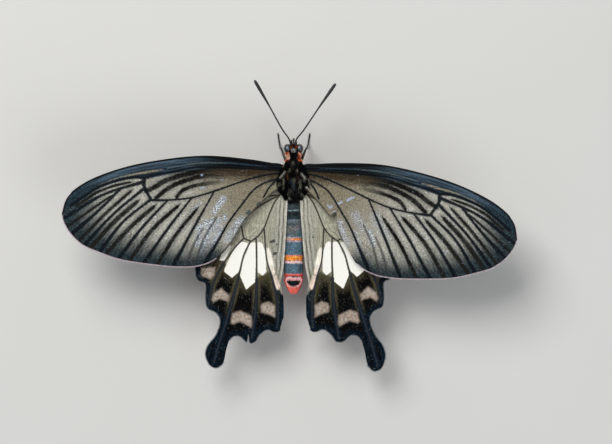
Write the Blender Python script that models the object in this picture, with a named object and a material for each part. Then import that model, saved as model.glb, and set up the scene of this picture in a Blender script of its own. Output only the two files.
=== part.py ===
"""Common rose butterfly, life size, standing on six feet with its wings spread flat.

The lists and sizes below are in millimetres, and the last step turns them into metres.
X runs across the body with the animal's left at +X, Y runs from head to tail with the
forewing hinges at Y = 0, and Z is up with the floor at Z = 0. At the end the whole animal
is moved so that the origin is the middle of its box, on the floor.
"""
import math

import bmesh
import bpy
import numpy as np
from mathutils import Matrix, Vector, geometry

MM = 0.001
GAP = 0.3                # space kept between neighbouring pieces
SHARP_ANGLE = 40.0       # degrees between faces that keep a hard edge
SIDES = {1: "left", -1: "right"}

# Head, eyes and mouthparts
HEAD_CENTRE = (0.0, -4.8, 10.5)
HEAD_RADII = (1.45, 1.7, 1.65)
EYE_CENTRE = (1.28, -4.95, 10.65)
EYE_RADII = (0.95, 1.1, 1.35)
PALP_PATH = [(0.5, -5.7, 9.4), (0.55, -6.5, 9.7), (0.5, -7.0, 10.3), (0.42, -7.05, 11.0)]
PALP_RADII = (0.42, 0.27)
PALP_STEP = 0.45
COIL_CENTRE = (0.0, -6.1, 8.0)
COIL_RADII = (1.35, 0.42)
COIL_ROOT = (0.0, -5.2, 9.4)
COIL_START = 60.0        # degrees
COIL_TURNS = 1.35
COIL_POINTS = 14         # in each turn
COIL_TUBE = 0.26
ANTENNA_PATHS = {
    1: [(0.6, -5.6, 11.3), (1.0, -7.2, 12.3), (2.4, -9.2, 13.1), (5.2, -14.2, 14.5), (8.4, -19.8, 15.4)],
    -1: [(0.4, -5.6, 11.3), (0.7, -7.2, 12.3), (2.0, -8.8, 13.0), (5.7, -14.2, 14.4), (9.1, -19.1, 15.0)],
}
ANTENNA_SHAFT = 0.25
ANTENNA_CLUB = 0.4
ANTENNA_STEP = 0.95
CLUB_START = 0.62        # share of the feeler's length
CLUB_FULL = 0.92

# Body forms as rings from front to back: Y, half width, half height, height of the middle
THORAX_RINGS = [
    (-3.0, 0.95, 1.05, 10.6), (-2.5, 1.5, 1.7, 10.6), (-1.6, 2.0, 2.5, 10.5), (-0.3, 2.35, 3.05, 10.45),
    (1.2, 2.45, 3.3, 10.4), (2.8, 2.3, 3.1, 10.4), (4.1, 1.95, 2.5, 10.5), (5.0, 1.45, 1.8, 10.55),
]
ABDOMEN_FRONT = 4.3
ABDOMEN_LENGTH = 22.1
ABDOMEN_SEGMENTS = 8
ABDOMEN_WIDTHS = [(0.0, 1.5), (0.14, 1.76), (0.5, 2.06), (0.78, 2.18), (0.9, 1.88), (1.0, 0.9)]
ABDOMEN_HEIGHTS = [(0.0, 10.4), (0.3, 10.05), (0.6, 9.45), (1.0, 8.55)]
SEGMENT_WAIST = 0.07
ABDOMEN_DEPTH = 1.06     # height over width
TIP_WIDTH = 0.45         # of the last ring, as a share of the width there

# Wings: outlines in the wing's own plane, out from the hinge and back from the hinge line
WING_THICKNESS = 0.5
FOREWING_HINGES = {1: (2.7, 0.0, 13.1), -1: (2.4, 0.0, 13.1)}
FOREWING_SWEEP = {1: 10.63, -1: 17.4}
FOREWING_RISE = 0.085
FOREWING_CAMBER = (3.0, 0.006)
FOREWING_OUTLINE = [
    (-1.6, -1.4), (2.5, -2.3), (6.1, -3.8), (15.5, -6.5), (25.2, -7.4), (34.1, -7.15), (42.1, -5.5),
    (46.2, -3.2), (48.1, 0.3), (47.6, 3.7), (45.2, 7.5), (41.7, 10.0), (37.7, 12.3), (32.6, 14.2),
    (25.3, 16.3), (21.0, 16.8), (17.6, 16.1), (13.7, 13.4), (9.9, 9.2), (5.3, 5.8), (1.6, 3.7), (-1.6, 2.6),
]
HINDWING_HINGE = (2.7, 3.9, 11.75)
HINDWING_SWEEP = {1: 0.0, -1: -1.3}
HINDWING_RISE = 0.055
HINDWING_DROOP = (6.0, 0.0032)
TAIL_START = (9.5, 31.0)
TAIL_LENGTH = 8.0
TAIL_EXTRA = {1: 0.0, -1: 1.1}
HINDWING_OUTLINE = [
    (-1.2, 0.2), (0.4, -0.6), (4.1, 0.0), (8.9, 1.7), (13.2, 5.0), (16.4, 9.1), (18.4, 13.0), (18.9, 17.0),
    (18.1, 19.6), (16.7, 20.4), (16.5, 23.8), (16.1, 25.7), (14.2, 26.9), (13.4, 28.4), (14.2, 31.2),
    (16.2, 33.8), (16.7, 35.9), (15.6, 38.3), (14.0, 38.9), (12.4, 37.7), (11.6, 34.6), (10.6, 32.2),
    (9.2, 32.0), (7.6, 33.2), (5.8, 33.2), (4.6, 31.7), (3.0, 30.6), (1.7, 31.0), (0.4, 30.8),
    (-0.4, 29.0), (-0.4, 23.4), (0.3, 20.0), (-0.1, 16.4), (-1.0, 12.0), (-1.2, 6.0), (-1.4, 2.6),
]

# Veins as lines in each wing's own plane, and their ridges at the hinge and at the far tip
FOREWING_VEINS = {
    "subcosta": [(0.0, -1.1), (6.3, -2.9), (12.5, -4.8), (17.0, -6.0), (21.5, -6.8)],
    "radius": [(0.0, -0.4), (6.4, -2.1), (12.8, -3.6), (18.1, -4.4), (26.9, -4.3), (29.2, -4.2)],
    "radius_1": [(15.4, -4.1), (20.1, -5.3), (25.5, -6.1), (30.5, -6.7)],
    "radius_2": [(24.7, -4.4), (28.9, -5.4), (33.2, -6.0), (36.6, -6.3)],
    "radius_3": [(29.2, -4.2), (33.0, -4.8), (37.5, -4.5), (42.4, -4.5)],
    "radius_4": [(29.4, -3.5), (34.5, -2.7), (39.4, -2.2), (44.1, -0.6), (47.2, 1.1)],
    "radius_5": [(34.5, -2.7), (37.6, -0.2), (42.0, 2.0), (46.1, 4.6)],
    "cell_end": [(29.2, -4.2), (29.6, -2.4), (29.2, -0.8), (28.6, 0.8)],
    "media_1": [(29.6, -2.0), (33.7, 0.3), (37.5, 2.7), (41.4, 5.0), (43.8, 7.4)],
    "media_2": [(28.8, 0.7), (33.1, 2.6), (36.4, 5.3), (41.0, 9.3)],
    "cubitus": [(0.0, 0.2), (4.2, 0.0), (9.1, 0.5), (14.8, 1.4), (19.9, 1.9), (25.0, 1.5), (28.8, 0.8)],
    "media_3": [(25.2, 1.6), (29.3, 4.6), (33.1, 7.4), (37.0, 11.2)],
    "cubitus_1": [(20.0, 2.0), (24.0, 5.8), (28.4, 9.2), (31.8, 13.1)],
    "cubitus_2": [(15.0, 1.5), (19.1, 6.5), (22.4, 10.3), (26.0, 14.9)],
    "anal": [(0.4, 1.2), (4.5, 1.8), (6.5, 2.7), (9.9, 5.6), (13.1, 8.6), (15.9, 12.2), (19.2, 15.7)],
}
HINDWING_VEINS = {
    "subcosta": [(0.2, 1.0), (4.1, 1.6), (8.9, 3.8), (13.8, 8.0), (17.0, 12.4)],
    "radius": [(0.2, 1.0), (4.1, 3.1), (6.7, 5.0), (8.7, 6.9), (12.1, 8.8), (15.4, 11.9), (17.9, 15.4)],
    "cubitus": [(0.2, 1.0), (1.4, 2.6), (2.4, 4.8), (3.7, 8.2), (5.0, 10.0), (6.5, 11.1)],
    "cell_end": [(6.5, 11.1), (8.0, 10.4), (8.4, 8.9), (8.7, 6.9)],
    "media_1": [(8.6, 7.4), (11.2, 10.0), (13.8, 13.4), (16.2, 16.8), (17.5, 18.8)],
    "media_2": [(8.0, 10.4), (9.7, 12.1), (11.9, 15.1), (13.8, 18.2), (15.1, 21.2), (15.7, 24.9)],
    "media_3": [(6.6, 11.1), (8.0, 13.8), (9.5, 19.9), (11.7, 27.7), (13.5, 33.4), (14.7, 37.6)],
    "cubitus_1": [(5.4, 10.6), (5.3, 17.0), (5.4, 23.8), (6.4, 32.4)],
    "cubitus_2": [(3.7, 8.2), (3.0, 15.6), (1.9, 19.0), (0.9, 23.5), (0.7, 28.0), (0.9, 30.0)],
    "anal": [(0.2, 1.0), (-0.2, 4.3), (0.1, 9.7), (0.5, 14.7), (0.6, 18.0)],
}
VEIN_HALF_WIDTHS = (0.48, 0.34)
VEIN_RIDGES = (0.3, 0.17)
VEIN_REACH = 45.0
VEIN_STEP = 2.1
OUTLINE_STEP = 1.3
GRID_STEP = 3.2
GRID_MARGIN = 1.5
MERGE = 0.05             # points of a wing's plan closer than this become one

# Legs: hip, knee, ankle, first toe joint and toe tip, and the radius at each
LEG_PATHS = {
    "foreleg": [(0.9, -1.0, 8.4), (2.7, -5.2, 7.4), (3.0, -5.6, 2.3), (3.2, -6.6, 0.2), (3.5, -8.8, 0.2)],
    "midleg": [(1.2, 0.6, 8.0), (5.6, -0.6, 8.6), (8.6, 0.6, 2.2), (9.2, 0.9, 0.2), (11.3, 1.8, 0.2)],
    "hindleg": [(1.2, 2.8, 8.2), (5.0, 8.6, 8.4), (7.4, 14.2, 2.4), (7.9, 15.4, 0.2), (8.6, 19.2, 0.2)],
}
LEG_RADII = [0.46, 0.36, 0.29, 0.26, 0.25]
LEG_BEND = 0.5

COLOURS = {
    "fur_black": ((0.012, 0.012, 0.014), 0.85),
    "abdomen": ((0.075, 0.105, 0.13), 0.6),
    "eye": ((0.02, 0.012, 0.01), 0.15),
    "cuticle": ((0.01, 0.01, 0.011), 0.4),
    "forewing": ((0.13, 0.125, 0.11), 0.6),
    "hindwing": ((0.035, 0.036, 0.04), 0.6),
}


def remove_everything():
    """Empty the scene before the animal is modelled."""
    for thing in list(bpy.data.objects):
        bpy.data.objects.remove(thing, do_unlink=True)


def material(name):
    """Make or fetch the plain Principled material of one slot."""
    found = bpy.data.materials.get(name)
    if found:
        return found
    colour, roughness = COLOURS[name]
    made = bpy.data.materials.new(name)
    made.use_nodes = True
    shader = made.node_tree.nodes["Principled BSDF"]
    shader.inputs["Base Color"].default_value = (*colour, 1.0)
    shader.inputs["Roughness"].default_value = roughness
    shader.inputs["Metallic"].default_value = 0.0
    return made


def smooth_line(points, spacing, closed=False):
    """Pass a centripetal spline through the points and return points evenly spaced along it."""
    control = [np.array(point, float) for point in points]
    if closed:
        control = [control[-1], *control, control[0], control[1]]
    else:
        control = [2 * control[0] - control[1], *control, 2 * control[-1] - control[-2]]
    samples = []
    for a, b, c, d in zip(control, control[1:], control[2:], control[3:]):
        knots = [0.0]
        for start, end in ((a, b), (b, c), (c, d)):
            knots.append(knots[-1] + max(np.linalg.norm(end - start), 1e-6) ** 0.5)
        for t in np.linspace(knots[1], knots[2], 16, endpoint=False):
            samples.append(spline_point((a, b, c, d), knots, t))
    samples.append(control[-2])
    samples = np.array(samples)
    lengths = np.concatenate([[0.0], np.cumsum(np.linalg.norm(np.diff(samples, axis=0), axis=1))])
    count = max(2, round(lengths[-1] / spacing))
    wanted = np.linspace(0.0, lengths[-1], count + 1)
    if closed:
        wanted = wanted[:-1]
    return np.stack([np.interp(wanted, lengths, axis) for axis in samples.T], axis=1)


def spline_point(points, knots, t):
    """Blend four control points at t, first in threes, then in pairs, then to one point."""
    def mix(low, high, start, end):
        share = (t - start) / (end - start)
        return (1 - share) * low + share * high

    first = [mix(points[i], points[i + 1], knots[i], knots[i + 1]) for i in range(3)]
    second = [mix(first[i], first[i + 1], knots[i], knots[i + 2]) for i in range(2)]
    return mix(second[0], second[1], knots[1], knots[2])


def lookup(table, x):
    """Read a value from pairs of place and value, eased between them."""
    places, values = zip(*table)
    i = int(np.clip(np.searchsorted(places, x) - 1, 0, len(places) - 2))
    share = np.clip((x - places[i]) / (places[i + 1] - places[i]), 0.0, 1.0)
    share = share * share * (3 - 2 * share)
    return values[i] + (values[i + 1] - values[i]) * share


def add_ring(bm, sides, matrix):
    """Add one closed ring of unit radius, placed by its matrix, and return its edges."""
    made = bmesh.ops.create_circle(bm, cap_ends=False, segments=sides, radius=1.0, matrix=matrix)
    return list({edge for vert in made["verts"] for edge in vert.link_edges})


def skin_rings(matrices, sides):
    """Bridge a row of rings into one closed form with flat ends."""
    bm = bmesh.new()
    rings = [add_ring(bm, sides, matrix) for matrix in matrices]
    for front, back in zip(rings, rings[1:]):
        bmesh.ops.bridge_loops(bm, edges=front + back)
    for end in (rings[0], rings[-1]):
        bmesh.ops.contextual_create(bm, geom=end)
    bmesh.ops.recalc_face_normals(bm, faces=bm.faces)
    return bm


def body_form(rings, sides, grow=0.0):
    """Loft an upright ring for each Y, half width, half height and height of its middle."""
    matrices = []
    last = len(rings) - 1
    for i, (y, half_width, half_height, z) in enumerate(rings):
        y += grow * ((i == last) - (i == 0))
        place = Matrix.Translation((0.0, y, z)) @ Matrix.Rotation(math.pi / 2, 4, "X")
        size = Matrix.Diagonal((half_width + grow, half_height + grow, 1.0, 1.0))
        matrices.append(place @ size)
    return skin_rings(matrices, sides)


def ball(centre, radii, columns, rows, grow=0.0):
    """Make an ellipsoid from its centre and three radii."""
    bm = bmesh.new()
    size = Matrix.Diagonal((*[radius + grow for radius in radii], 1.0))
    turn = Matrix.Rotation(math.pi / 2, 4, "X")
    bmesh.ops.create_uvsphere(bm, u_segments=columns, v_segments=rows, radius=1.0,
                              matrix=Matrix.Translation(centre) @ size @ turn)
    return bm


def tube(path, radii, sides):
    """Sweep a round section along a path, with one radius for each of its points."""
    points = [Vector(point) for point in path]
    matrices = []
    across = None
    for i, point in enumerate(points):
        ahead = points[min(i + 1, len(points) - 1)] - points[max(i - 1, 0)]
        ahead.normalize()
        if across is None:
            across = ahead.orthogonal()
        across = (across - ahead * across.dot(ahead)).normalized()
        up = ahead.cross(across)
        turn = Matrix((across, up, ahead)).transposed().to_4x4()
        size = Matrix.Diagonal((radii[i], radii[i], 1.0, 1.0))
        matrices.append(Matrix.Translation(point) @ turn @ size)
    return skin_rings(matrices, sides)


def mirrored(points, side):
    """Put points given for the left on the side that is asked for."""
    return [(side * x, y, z) for x, y, z in points]


def make_object(name, bm, slot):
    """Turn a mesh still in millimetres into a named object with its material."""
    bmesh.ops.triangulate(bm, faces=bm.faces)
    mesh = bpy.data.meshes.new(name)
    bm.to_mesh(mesh)
    bm.free()
    made = bpy.data.objects.new(name, mesh)
    bpy.context.scene.collection.objects.link(made)
    mesh.materials.append(material(slot))
    return made


def largest_body(mesh):
    """Keep only the largest closed surface of a mesh."""
    bm = bmesh.new()
    bm.from_mesh(mesh)
    left = set(bm.faces)
    bodies = []
    while left:
        queue = [left.pop()]
        body = list(queue)
        while queue:
            face = queue.pop()
            for edge in face.edges:
                for other in edge.link_faces:
                    if other in left:
                        left.remove(other)
                        queue.append(other)
                        body.append(other)
        bodies.append(body)
    bodies.sort(key=lambda body: sum(face.calc_area() for face in body))
    for body in bodies[:-1]:
        bmesh.ops.delete(bm, geom=body, context="FACES")
    bm.to_mesh(mesh)
    bm.free()


def cut_clear(thing, form):
    """Cut an object back from a grown copy of the form that it meets."""
    cutter = make_object("cutter", form, "cuticle")
    cut = thing.modifiers.new("cut", "BOOLEAN")
    cut.operation = "DIFFERENCE"
    cut.solver = "EXACT"
    cut.object = cutter
    view = bpy.context.evaluated_depsgraph_get()
    trimmed = bpy.data.meshes.new_from_object(thing.evaluated_get(view))
    thing.modifiers.remove(cut)
    bpy.data.objects.remove(cutter, do_unlink=True)
    largest_body(trimmed)
    thing.data = trimmed


def head_form(grow=0.0):
    """The head without its eyes."""
    return ball(HEAD_CENTRE, HEAD_RADII, 16, 12, grow)


def thorax_form(grow=0.0):
    """The thorax with its short neck."""
    return body_form(THORAX_RINGS, 16, grow)


def abdomen_form():
    """The abdomen, a little drawn in between its segments and bent gently down."""
    rings = []
    steps = ABDOMEN_SEGMENTS * 3
    for i in range(steps + 1):
        along = i / steps
        swell = 1.0 - SEGMENT_WAIST * (i % 3 == 0 and 0 < i < steps)
        half_width = lookup(ABDOMEN_WIDTHS, along) * swell
        if i == steps:
            half_width *= TIP_WIDTH
        y = ABDOMEN_FRONT + ABDOMEN_LENGTH * along
        rings.append((y, half_width, half_width * ABDOMEN_DEPTH, lookup(ABDOMEN_HEIGHTS, along)))
    return body_form(rings, 14)


def make_body():
    """Head, thorax and abdomen, each cut clear of the one before it."""
    make_object("thorax", thorax_form(), "fur_black")
    head = make_object("head", head_form(), "fur_black")
    abdomen = make_object("abdomen", abdomen_form(), "abdomen")
    for thing in (head, abdomen):
        cut_clear(thing, thorax_form(GAP))


def make_eyes():
    """Large oval eyes on the sides of the head."""
    for side, word in SIDES.items():
        centre = mirrored([EYE_CENTRE], side)[0]
        eye = make_object(f"eye_{word}", ball(centre, EYE_RADII, 14, 10), "eye")
        cut_clear(eye, head_form(GAP))


def make_antennae():
    """Long thin feelers that thicken slowly into clubs with blunt tips."""
    for side, word in SIDES.items():
        path = smooth_line(mirrored(ANTENNA_PATHS[side], side), ANTENNA_STEP)
        radii = []
        for i in range(len(path)):
            along = i / (len(path) - 1)
            club = np.clip((along - CLUB_START) / (CLUB_FULL - CLUB_START), 0.0, 1.0)
            radii.append(ANTENNA_SHAFT + (ANTENNA_CLUB - ANTENNA_SHAFT) * club)
        radii[-1] = ANTENNA_SHAFT
        feeler = make_object(f"antenna_{word}", tube(path, radii, 6), "cuticle")
        cut_clear(feeler, head_form(GAP))


def make_mouthparts():
    """Two short palps, and the proboscis coiled between them under the face."""
    for side, word in SIDES.items():
        path = smooth_line(mirrored(PALP_PATH, side), PALP_STEP)
        radii = np.linspace(*PALP_RADII, len(path))
        palp = make_object(f"palp_{word}", tube(path, radii, 8), "fur_black")
        cut_clear(palp, head_form(GAP))
    path = [COIL_ROOT]
    steps = round(COIL_POINTS * COIL_TURNS)
    for i in range(steps + 1):
        along = i / steps
        angle = math.radians(COIL_START) + 2 * math.pi * COIL_TURNS * along
        radius = COIL_RADII[0] + (COIL_RADII[1] - COIL_RADII[0]) * along
        y = COIL_CENTRE[1] + radius * math.cos(angle)
        path.append((0.0, y, COIL_CENTRE[2] + radius * math.sin(angle)))
    proboscis = make_object("proboscis", tube(path, [COIL_TUBE] * len(path), 6), "cuticle")
    cut_clear(proboscis, head_form(GAP))


def leg_path(joints):
    """Round the bends of a leg a little, and give each point its radius."""
    path = [joints[0]]
    radii = [LEG_RADII[0]]
    for i in range(1, len(joints) - 1):
        before, here, after = (Vector(joint) for joint in joints[i - 1:i + 2])
        path.append(here + (before - here).normalized() * LEG_BEND)
        path.append(here)
        path.append(here + (after - here).normalized() * LEG_BEND)
        radii += [LEG_RADII[i]] * 3
    path.append(joints[-1])
    radii.append(LEG_RADII[-1])
    return path, radii


def make_legs():
    """Six legs on the underside of the thorax, each with a small flat sole on the floor."""
    for name, joints in LEG_PATHS.items():
        for side, word in SIDES.items():
            path, radii = leg_path(mirrored(joints, side))
            leg = tube(path, radii, 8)
            everything = leg.verts[:] + leg.edges[:] + leg.faces[:]
            cut = bmesh.ops.bisect_plane(leg, geom=everything, plane_co=(0, 0, 0), plane_no=(0, 0, 1),
                                         clear_inner=True)
            rim = [item for item in cut["geom_cut"] if isinstance(item, bmesh.types.BMEdge)]
            bmesh.ops.contextual_create(leg, geom=rim)
            bmesh.ops.recalc_face_normals(leg, faces=leg.faces)
            made = make_object(f"{name}_{word}", leg, "cuticle")
            cut_clear(made, thorax_form(GAP))


def forewing_height(u, v):
    """Rise of the forewing's middle surface above its hinge."""
    middle, bend = FOREWING_CAMBER
    return FOREWING_RISE * u - bend * (v - middle) ** 2 + bend * middle ** 2


def hindwing_height(u, v):
    """Rise of the hindwing's middle surface above its hinge."""
    start, bend = HINDWING_DROOP
    return HINDWING_RISE * u - bend * np.maximum(v - start, 0.0) ** 2


def inner_points(outline, kept_clear):
    """A grid of points inside an outline, away from its edge and from other lines."""
    lines = np.concatenate([outline, *kept_clear])
    low, high = outline.min(axis=0), outline.max(axis=0)
    points = []
    for row, v in enumerate(np.arange(low[1], high[1], GRID_STEP * math.sin(math.pi / 3))):
        for u in np.arange(low[0] + GRID_STEP / 2 * (row % 2), high[0], GRID_STEP):
            crossings = 0
            for start, end in zip(outline, np.roll(outline, -1, axis=0)):
                if (start[1] > v) != (end[1] > v):
                    reach = start[0] + (v - start[1]) / (end[1] - start[1]) * (end[0] - start[0])
                    crossings += reach > u
            nearest = np.hypot(lines[:, 0] - u, lines[:, 1] - v).min()
            if crossings % 2 and nearest > GRID_MARGIN:
                points.append((u, v))
    return points


def along_wing(sizes, places):
    """Fade a vein's size from the hinge to the wing's far end."""
    share = np.clip(np.hypot(places[..., 0], places[..., 1]) / VEIN_REACH, 0.0, 1.0)
    return sizes[0] + (sizes[1] - sizes[0]) * share


def vein_ridge(places, crests):
    """Height of the vein ridges above the membrane at each place of a wing's plan."""
    ridge = np.zeros(len(places))
    widths = along_wing(VEIN_HALF_WIDTHS, places)
    heights = along_wing(VEIN_RIDGES, places)
    for crest in crests:
        starts, runs = crest[:-1], np.diff(crest, axis=0)
        offsets = places[:, None, :] - starts[None, :, :]
        share = np.clip((offsets * runs).sum(axis=2) / (runs * runs).sum(axis=1), 0.0, 1.0)
        nearest = np.linalg.norm(offsets - share[:, :, None] * runs, axis=2).min(axis=1)
        ridge = np.maximum(ridge, heights * np.clip(1.0 - nearest / widths, 0.0, 1.0))
    return ridge


def wing_plan(outline_points, veins):
    """Split a wing's plan into triangles along its veins: points, triangles and vein crests."""
    outline = smooth_line(outline_points, OUTLINE_STEP, closed=True)
    crests = [smooth_line(vein, VEIN_STEP) for vein in veins.values()]
    points = [Vector(point) for point in outline]
    lines = []
    for crest in crests:
        ahead = np.gradient(crest, axis=0)
        across = np.stack([-ahead[:, 1], ahead[:, 0]], axis=1)
        across *= (along_wing(VEIN_HALF_WIDTHS, crest) / np.linalg.norm(ahead, axis=1))[:, None]
        first = len(points)
        points += [Vector(point) for point in crest]
        ends = [first, first + len(crest) - 1]
        lines += [(i, i + 1) for i in range(*ends)]
        for foot in (crest + across, crest - across):
            row = [ends[0], *range(len(points), len(points) + len(crest) - 2), ends[1]]
            points += [Vector(point) for point in foot[1:-1]]
            lines += list(zip(row, row[1:]))
    points += [Vector(point) for point in inner_points(outline, crests)]
    border = list(range(len(outline)))
    plan = geometry.delaunay_2d_cdt(points, lines, [border], 1, MERGE)
    return np.array(plan[0]), plan[2], crests


def with_tail(lines, extra):
    """Draw the hindwing's tail out by the extra length of its side."""
    longer = []
    for u, v in lines:
        share = (v - TAIL_START[1]) / TAIL_LENGTH if u > TAIL_START[0] else 0.0
        longer.append((u, v + extra * min(max(share, 0.0), 1.0)))
    return longer


def make_wing(name, outline, veins, height, hinge, sweep, side, slot):
    """Build one wing as a closed membrane whose upper face rises into its vein ridges."""
    places, triangles, crests = wing_plan(outline, veins)
    rise = height(places[:, 0], places[:, 1])
    ridge = vein_ridge(places, crests)
    turn = math.radians(sweep)
    bm = bmesh.new()
    for (u, v), z in zip(places, rise):
        x = side * (hinge[0] + u * math.cos(turn) - v * math.sin(turn))
        y = hinge[1] + u * math.sin(turn) + v * math.cos(turn)
        bm.verts.new((x, y, hinge[2] + z - WING_THICKNESS / 2))
    bm.verts.ensure_lookup_table()
    for triangle in triangles:
        bm.faces.new([bm.verts[i] for i in triangle])
    depth = bm.verts.layers.float.new("depth")
    for vert, lift in zip(bm.verts, ridge):
        vert[depth] = WING_THICKNESS + lift
    top = bmesh.ops.extrude_face_region(bm, geom=bm.faces[:])
    for item in top["geom"]:
        if isinstance(item, bmesh.types.BMVert):
            item.co.z += item[depth]
    bmesh.ops.recalc_face_normals(bm, faces=bm.faces)
    wing = make_object(name, bm, slot)
    cut_clear(wing, thorax_form(GAP))


def make_wings():
    """Forewings over hindwings, each pair of one shape swept by its own angle."""
    for side, word in SIDES.items():
        make_wing(f"forewing_{word}", FOREWING_OUTLINE, FOREWING_VEINS, forewing_height,
                  FOREWING_HINGES[side], FOREWING_SWEEP[side], side, "forewing")
        extra = TAIL_EXTRA[side]
        veins = {vein: with_tail(line, extra) for vein, line in HINDWING_VEINS.items()}
        make_wing(f"hindwing_{word}", with_tail(HINDWING_OUTLINE, extra), veins, hindwing_height,
                  HINDWING_HINGE, HINDWING_SWEEP[side], side, "hindwing")


def set_on_origin():
    """Scale to metres, and move the middle of the animal's box over the origin."""
    animal = bpy.context.scene.collection.objects
    corners = np.array([vert.co[:] for thing in animal for vert in thing.data.vertices])
    low, high = corners.min(axis=0), corners.max(axis=0)
    middle = (low + high) / 2
    shift = Matrix.Translation((-middle[0], -middle[1], -low[2]))
    for thing in animal:
        thing.data.transform(Matrix.Scale(MM, 4) @ shift)
        thing.data.shade_smooth()
        thing.data.set_sharp_from_angle(angle=math.radians(SHARP_ANGLE))


remove_everything()
make_body()
make_eyes()
make_antennae()
make_mouthparts()
make_legs()
make_wings()
set_on_origin()
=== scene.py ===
"""The looks of a life-size common rose butterfly, a still museum model standing on its six feet.

Sizes are millimetres in the animal's own axes unless a line says otherwise: X runs to its left,
Y from head to tail with the forewing hinges at Y = 0, and Z up from the floor. Wings are drawn
in their own plane, u out from the hinge and v back from the hinge line.
"""
import math

import bmesh
import bpy
import numpy as np
from mathutils import Matrix, Vector, kdtree, noise


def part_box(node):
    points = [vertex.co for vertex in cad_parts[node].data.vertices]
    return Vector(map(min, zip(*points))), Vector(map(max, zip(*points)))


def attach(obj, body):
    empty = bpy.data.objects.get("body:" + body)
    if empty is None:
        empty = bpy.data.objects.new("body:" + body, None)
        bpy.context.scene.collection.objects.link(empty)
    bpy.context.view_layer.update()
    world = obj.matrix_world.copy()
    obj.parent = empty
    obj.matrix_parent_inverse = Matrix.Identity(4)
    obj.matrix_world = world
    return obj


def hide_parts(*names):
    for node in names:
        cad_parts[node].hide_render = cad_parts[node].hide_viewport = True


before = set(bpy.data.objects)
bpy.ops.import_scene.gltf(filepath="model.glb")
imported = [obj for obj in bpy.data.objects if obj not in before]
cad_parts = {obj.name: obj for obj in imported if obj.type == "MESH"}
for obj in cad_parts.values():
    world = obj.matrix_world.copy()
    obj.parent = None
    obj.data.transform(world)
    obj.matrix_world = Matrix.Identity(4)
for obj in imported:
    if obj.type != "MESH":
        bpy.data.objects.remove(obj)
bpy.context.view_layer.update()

# The camera. It looks straight down on the spread wings from 0.6 m, head at the top of the
# picture, as the photo was taken. Its lens gives the photo's frame at the height of the wings.
MM = 0.001
PICTURE = (612, 444)
PIXEL = 98.0 / 453.0           # the wings span 453 pixels of the photo and 98 mm
BODY_PIXEL = (293.5, 172.0)    # the middle of the body, level with the forewing hinges
HINGES_BEHIND_THORAX = 3.0     # from the front of the thorax
WING_LEVEL = 13.8
CAMERA_RISE = 600.0
SENSOR = 36.0

thorax_low, thorax_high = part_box("thorax")
on_frame = Matrix.Translation((
    (thorax_low.x + thorax_high.x) / 2,
    thorax_low.y + HINGES_BEHIND_THORAX * MM,
    0.0,
)) @ Matrix.Scale(MM, 4)

eye_point = Vector((
    (BODY_PIXEL[0] - PICTURE[0] / 2) * PIXEL,
    (PICTURE[1] / 2 - BODY_PIXEL[1]) * PIXEL,
    WING_LEVEL + CAMERA_RISE,
))
camera_data = bpy.data.cameras.new("camera")
camera_data.sensor_width = SENSOR
camera_data.lens = SENSOR * CAMERA_RISE / (PICTURE[0] * PIXEL)
camera = bpy.data.objects.new("camera", camera_data)
camera.location = on_frame @ eye_point
camera.rotation_euler = (0.0, 0.0, math.pi)
bpy.context.scene.collection.objects.link(camera)
bpy.context.scene.camera = camera


# The floor. It is a plain pale studio sheet, faintly mottled like card, laid flat under the
# feet and far enough out to fill the picture from any side.
FLOOR_HALF = 3.0               # metres
FLOOR_COLOURS = ((214, 213, 209), (222, 221, 218))


def colour(red, green, blue):
    """Turn a colour as a screen shows it, 0 to 255, into the linear light of a shader."""
    level = np.array([red, green, blue]) / 255.0
    return np.where(level <= 0.04045, level / 12.92, ((level + 0.055) / 1.055) ** 2.4)


class Value:
    """A number that a finish's nodes work out. It can be added, taken away and multiplied."""

    def __init__(self, finish, socket):
        self.finish = finish
        self.socket = socket

    def __add__(self, other):
        return self.finish.number("ADD", self, other)

    def __sub__(self, other):
        return self.finish.number("SUBTRACT", self, other)

    def __mul__(self, other):
        return self.finish.number("MULTIPLY", self, other)


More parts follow.
